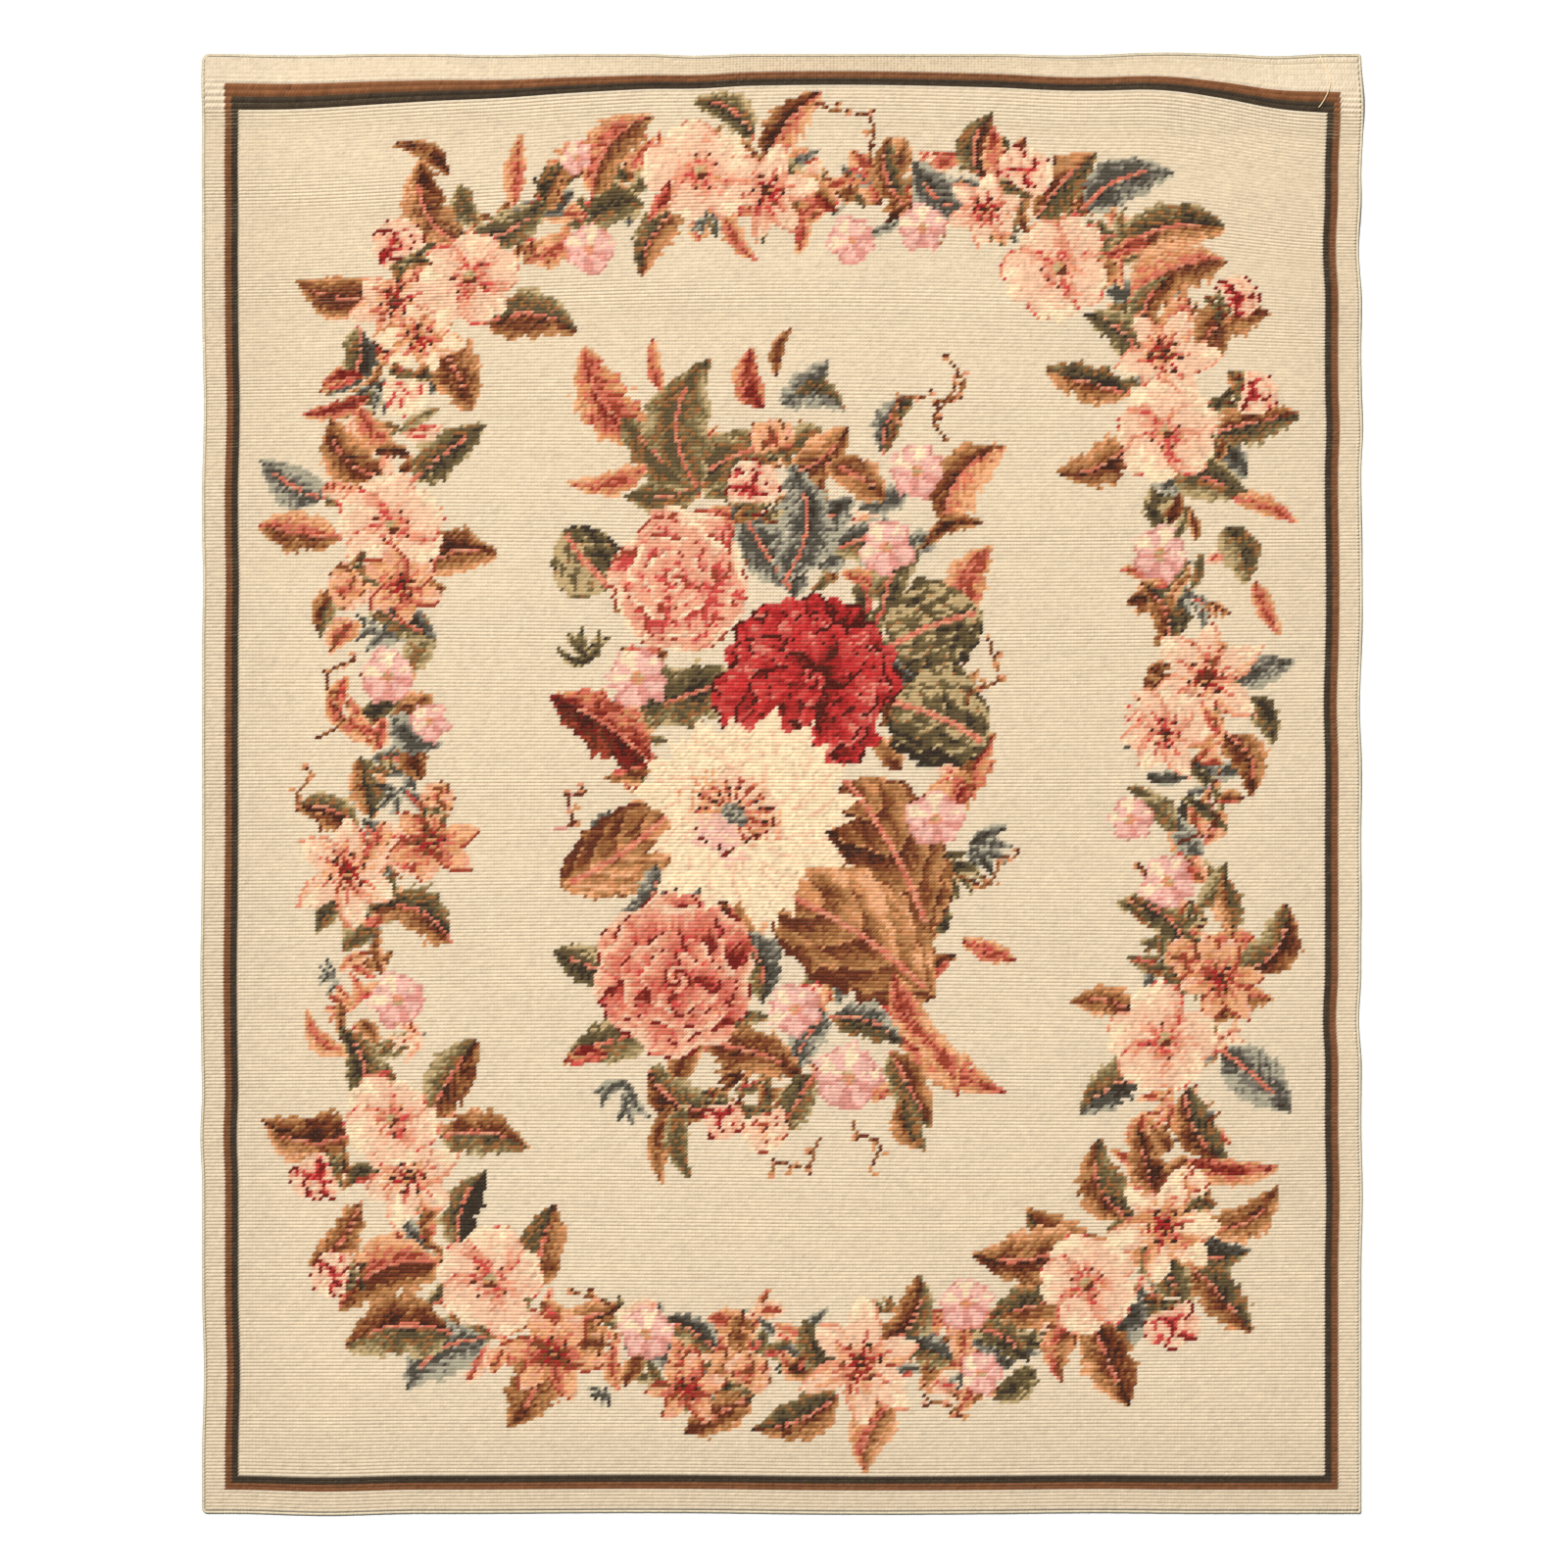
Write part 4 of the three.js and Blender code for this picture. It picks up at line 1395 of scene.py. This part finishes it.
# %% Where each stitch lies
STEP = 0.5
column, row = np.meshgrid(np.arange(COLUMNS), np.arange(ROWS))
neat_x = (column + 0.5) * STITCH_WIDE - PANEL_WIDTH / 2
neat_y = (row + 0.5) * STITCH_LONG - PANEL_LENGTH / 2
pulled_y = neat_y - pull_at(neat_x, neat_y)
stitch_place = as_it_lies(neat_x, pulled_y, CANVAS_THICK)
rise_x = (lift_at(neat_x + STEP, pulled_y) - lift_at(neat_x - STEP, pulled_y)) / (2 * STEP)
rise_y = (lift_at(neat_x, pulled_y + STEP) - lift_at(neat_x, pulled_y - STEP)) / (2 * STEP)
skew = -(pull_at(neat_x + STEP, neat_y) - pull_at(neat_x - STEP, neat_y)) / (2 * STEP)
opened = 1 - (pull_at(neat_x, neat_y + STEP) - pull_at(neat_x, neat_y - STEP)) / (2 * STEP)
stitch_lie = np.stack([np.arctan(rise_y), -np.arctan(rise_x), np.arctan(skew)], -1)
stitch_spread = np.stack([np.ones_like(opened), opened, np.ones_like(opened)], -1)
print(f"Rows open by up to {opened.max():.2f} and close to {opened.min():.2f} of their pitch")

# %% Each stitch's wool
DYE_SEED = 7
rng = np.random.default_rng(DYE_SEED)
WORKED_SHADE = 0.88
CREAM_UNEVEN, COLOUR_UNEVEN, EDGING_UNEVEN = 0.035, 0.09, 0.05
unevenness = np.where(chart == WOOL_NAMES.index("cream"), CREAM_UNEVEN, COLOUR_UNEVEN)
# The stitches darken towards each side of the panel, most on the left and at the bottom, fading out over a
# reach from the side.
MARGIN_DARKENING = {"left": 0.07, "right": 0.03, "bottom": 0.07, "top": 0.01}
DARKENING_REACH = 130.0
from_sides = {
    "left": PANEL_WIDTH / 2 + neat_x,
    "right": PANEL_WIDTH / 2 - neat_x,
    "bottom": PANEL_LENGTH / 2 + neat_y,
    "top": PANEL_LENGTH / 2 - neat_y,
}
darkened = 1.0
for side, darkening in MARGIN_DARKENING.items():
    darkened = np.minimum(darkened, 1 - darkening * hump(np.clip(from_sides[side] / DARKENING_REACH, 0, 1)))
stitch_wools = WOOL_COLOURS[chart].copy()
stitch_wools[..., :3] *= (WORKED_SHADE * darkened * rng.normal(1.0, unevenness))[..., None]
print("Mean worked wool, linear:", stitch_wools[..., :3].mean(axis=(0, 1)).round(2))

# %% Work the fields
FIELDS_ACROSS, FIELDS_ALONG, FIELD_SEED = 2, 3, 11
fields = []
for i in range(FIELDS_ALONG):
    for j in range(FIELDS_ACROSS):
        rows = slice(i * ROWS // FIELDS_ALONG, (i + 1) * ROWS // FIELDS_ALONG)
        cols = slice(j * COLUMNS // FIELDS_ACROSS, (j + 1) * COLUMNS // FIELDS_ACROSS)
        field = work(
            f"stitches_{i + 1}_{j + 1}",
            stitch_place[rows, cols].reshape(-1, 3),
            stitch_lie[rows, cols].reshape(-1, 3),
            stitch_spread[rows, cols].reshape(-1, 3),
            stitch_wools[rows, cols].reshape(-1, 4),
            Shape=stitch,
            Wool=stitch_wool,
            Loosest=1.1,
            Tightest=0.85,
            Twist=0.06,
            Seed=FIELD_SEED + i * FIELDS_ACROSS + j,
        )
        fields.append(field)
print("Stitch faces:", [len(field.data.polygons) for field in fields])

# %% [markdown]
# ## Bind the edges
#
# The edging runs once round the rug in cream wool, and its corners are rounded by different
# amounts. The outline is four runs of points, so each side's turns replace one solid of the
# frame. Stations are set along a run one stitch apart, each with the heading of the run there,
# and the stitching tree puts one turn of yarn on each.

# %% The outline in four runs
CORNER_ZONE, ARC_STOPS, SHORTEST = 12.0, 9, 1e-9


def outline_runs():
    """Points of the outline in four runs, each clockwise."""
    half_x, half_y = RUG_WIDTH / 2, RUG_LENGTH / 2
    order = [(-1, 1), (1, 1), (1, -1), (-1, -1)]
    headings = {(-1, 1): 90, (1, 1): 0, (1, -1): -90, (-1, -1): -180}

    def arc(key):
        radius = CORNER_RADIUS[key]
        turn = np.radians(np.linspace(headings[key], headings[key] - 90, ARC_STOPS))
        middle = np.array([key[0] * (half_x - radius), key[1] * (half_y - radius)])
        return middle + radius * np.stack([np.cos(turn + np.pi / 2), np.sin(turn + np.pi / 2)], -1)

    ends = {side: [[side[0] * half_x, side[1] * (half_y - CORNER_ZONE)]] for side in order}
    top = np.concatenate([ends[order[0]], arc(order[0]), arc(order[1]), ends[order[1]]])
    bottom = np.concatenate([ends[order[2]], arc(order[2]), arc(order[3]), ends[order[3]]])
    side_reach = half_y - CORNER_ZONE - PIECE_GAP
    right = np.array([[half_x, side_reach], [half_x, -side_reach]])
    left = np.array([[-half_x, -side_reach], [-half_x, side_reach]])
    return {"top": top, "right": right, "bottom": bottom, "left": left}


def along_run(points, pitch):
    """Even stations along a run: places and headings."""
    steps = np.diff(points, axis=0)
    lengths = np.hypot(*steps.T)
    keep = lengths > SHORTEST
    steps, lengths, starts = steps[keep], lengths[keep], points[:-1][keep]
    ends = np.concatenate([[0], np.cumsum(lengths)])
    count = int(round(ends[-1] / pitch))
    at = (np.arange(count) + 0.5) * ends[-1] / count
    piece = np.clip(np.searchsorted(ends, at, side="right") - 1, 0, len(lengths) - 1)
    share = ((at - ends[piece]) / lengths[piece])[:, None]
    middles = (ends[:-1] + ends[1:]) / 2
    heading = np.unwrap(np.arctan2(steps[:, 1], steps[:, 0]))
    return starts[piece] + share * steps[piece], np.interp(at, middles, heading)


outline = outline_runs()
print("Points in each run:", {side: len(points) for side, points in outline.items()})

# %% Bind the four sides
EDGING_CREAM, EDGING_SEED = linear("#ECDAB8"), 31
edgings = []
for side, points in outline.items():
    flat, heading = along_run(points, STITCH_LONG)
    places = as_it_lies(flat[:, 0], flat[:, 1], 0.0)
    lies = np.stack([np.zeros_like(heading), np.zeros_like(heading), heading], -1)
    wools = np.tile(np.array(EDGING_CREAM), (len(flat), 1))
    wools[:, :3] *= WORKED_SHADE * rng.normal(1.0, EDGING_UNEVEN, len(flat))[:, None]
    piece = work(
        f"edging_yarn_{side}", places, lies, np.ones((len(flat), 3)), wools,
        Shape=wrap, Wool=edging_wool, Loosest=1.04, Tightest=0.94, Twist=0.05, Seed=EDGING_SEED,
    )
    edgings.append(piece)
    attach(piece, "root")
    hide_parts(f"edging_{side}")
turns = sum(len(piece.data.polygons) for piece in edgings) // len(wrap.data.polygons)
print("Turns of edging yarn:", turns)

# %% [markdown]
# ## A loose end of yarn
#
# Near the top right corner one end of the edging yarn was never woven in, and it lies in a curve
# over the border line. A curve with a round bevel would make it. Here it is rings of points round
# a smooth path, because then the tube follows the ridge below it and carries its own colour.

# %% Where the loose end lies
LOOSE_END = table("""
across  along  above
566.0   766.5  3.8
572.6   749.5  4.7
575.8   738.5  5.0
573.6   730.0  5.0
568.5   718.0  4.8
562.4   710.7  4.3
""")
END_RINGS, END_BENDS = 25, 4  # the path is a polynomial of fourth degree
share = np.linspace(0, 1, END_RINGS)
knots = np.linspace(0, 1, len(LOOSE_END))
path = []
for way in LOOSE_END[0]:
    path.append(np.polyval(np.polyfit(knots, [row[way] for row in LOOSE_END], END_BENDS), share))
centre = as_it_lies(*path)
print(f"The loose end is {np.linalg.norm(np.diff(centre, axis=0), axis=1).sum() / MM:.0f} mm long")

# %% The loose end
END_WIDE, END_SIDES = 1.0, 6
END_STRAW = linear("#F2DCAE")
SIDE_MM, RING_MM = 0.5, 2.4  # how far the plies run on from side to side and ring to ring
ahead = np.gradient(centre, axis=0)
ahead /= np.linalg.norm(ahead, axis=1)[:, None]
beside = np.cross(ahead, (0, 0, 1))
beside /= np.linalg.norm(beside, axis=1)[:, None]
above = np.cross(beside, ahead)
around = 2 * np.pi * np.arange(END_SIDES) / END_SIDES
ring = np.cos(around)[:, None] * beside[:, None] + np.sin(around)[:, None] * above[:, None]
end_points = (centre[:, None] + END_WIDE / 2 * MM * ring).reshape(-1, 3)
end_faces = [list(range(END_SIDES)), list(range(len(end_points)))[: -END_SIDES - 1 : -1]]
for k in range(END_RINGS - 1):
    for side in range(END_SIDES):
        first, second = k * END_SIDES + side, k * END_SIDES + (side + 1) % END_SIDES
        end_faces.append([first, first + END_SIDES, second + END_SIDES, second])
loose_end = mesh_object("loose_end", end_points, end_faces, edging_wool)
uv = loose_end.data.uv_layers.new(name="Stitch")
for loop in loose_end.data.loops:
    ring_number, side_number = divmod(loop.vertex_index, END_SIDES)
    uv.data[loop.index].uv = (side_number * SIDE_MM, ring_number * RING_MM)
dye = loose_end.data.attributes.new("wool", "FLOAT_COLOR", "POINT")
dye.data.foreach_set("color", np.tile(END_STRAW, len(end_points)))
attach(loose_end, "root")
print("Faces of the loose end:", len(end_faces))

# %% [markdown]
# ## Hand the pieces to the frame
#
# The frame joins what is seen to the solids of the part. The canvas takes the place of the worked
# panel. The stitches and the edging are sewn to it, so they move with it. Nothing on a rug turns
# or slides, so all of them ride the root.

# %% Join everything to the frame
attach(canvas, "root")
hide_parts("worked_panel")
for field in fields:
    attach(field, "root")

# %% [markdown]
# ## Floor, camera and light
#
# The rug lies on a pale floor and is seen from straight above through a long lens, which keeps
# its sides parallel. The camera's height is worked out from how many millimetres of floor one
# pixel of the frame covers. One round softbox stands high over the top left. From there the light
# crosses the rows at a slant, which picks out their ribs, and its reach dims a little towards the
# bottom right. A pale room fills the shade.

# %% Floor
FLOOR_REACH = 6.0
floor_material, tree = new_material("pale painted floor")
surface = add(tree, "ShaderNodeBsdfPrincipled", {"Base Color": linear("#FAFAFA"), "Roughness": 0.9})
add(tree, "ShaderNodeOutputMaterial", {"Surface": surface.outputs["BSDF"]})
floor = mesh_object(
    "floor",
    FLOOR_REACH * np.array([[-1, -1, 0], [1, -1, 0], [1, 1, 0], [-1, 1, 0]]),
    np.array([[0, 1, 2, 3]]),
    floor_material,
)
floor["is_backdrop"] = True
print("Floor:", floor.name)

# %% Camera
FRAME_PIXELS = 1600
MM_PER_PIXEL = 1.0313
RUG_MIDDLE_PIXEL = (797.5, 799.5)
LENS_MM, SENSOR_MM = 120, 36
camera_data = bpy.data.cameras.new("camera")
camera_data.lens = LENS_MM
camera_data.sensor_width = SENSOR_MM
frame_wide = FRAME_PIXELS * MM_PER_PIXEL * MM
distance = frame_wide * LENS_MM / SENSOR_MM
camera = bpy.data.objects.new("camera", camera_data)
off_x = (FRAME_PIXELS / 2 - RUG_MIDDLE_PIXEL[0]) * MM_PER_PIXEL * MM
off_y = (RUG_MIDDLE_PIXEL[1] - FRAME_PIXELS / 2) * MM_PER_PIXEL * MM
camera.location = (off_x, off_y, distance)
bpy.context.scene.collection.objects.link(camera)
bpy.context.scene.camera = camera
print(f"The camera is {distance:.2f} m above the floor")

# %% Light
LIGHT_HEIGHT, LIGHT_SIDE = 66.0, 25.0
LIGHT_AWAY, LIGHT_WIDE = 9.0, 0.95
SUN_LIKE, ROOM_LIGHT = 3.95, 0.16
height, side = np.radians([LIGHT_HEIGHT, LIGHT_SIDE])
box_data = bpy.data.lights.new("softbox", "AREA")
box_data.shape = "DISK"
box_data.size = LIGHT_WIDE
box_data.energy = SUN_LIKE * np.pi * LIGHT_AWAY**2
box = bpy.data.objects.new("softbox", box_data)
flat_away = LIGHT_AWAY * np.cos(height)
box.location = (-flat_away * np.sin(side), flat_away * np.cos(side), LIGHT_AWAY * np.sin(height))
box.rotation_euler = (height - np.pi / 2, 0, side)
bpy.context.scene.collection.objects.link(box)
bpy.context.scene.view_settings.view_transform = "Standard"
world = bpy.data.worlds.new("soft room")
bpy.context.scene.world = world
world.use_nodes = True
world.node_tree.nodes["Background"].inputs["Color"].default_value = linear("#FFFFFF")
world.node_tree.nodes["Background"].inputs["Strength"].default_value = ROOM_LIGHT
print(f"The softbox is at {', '.join(f'{v:.2f}' for v in box.location)} m")

# %% [markdown]
# ## Both sizes
#
# A dressed piece should be as big as its solids. Both boxes are measured here and printed in
# millimetres.

# %% Print the sizes
sizes = {"cad": [list(map(float, v)) for v in cad_box], "scene": [list(map(float, v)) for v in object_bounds()]}
for name, (low, high) in sizes.items():
    print(name, "box in mm:", [round((b - a) / MM, 1) for a, b in zip(low, high)])
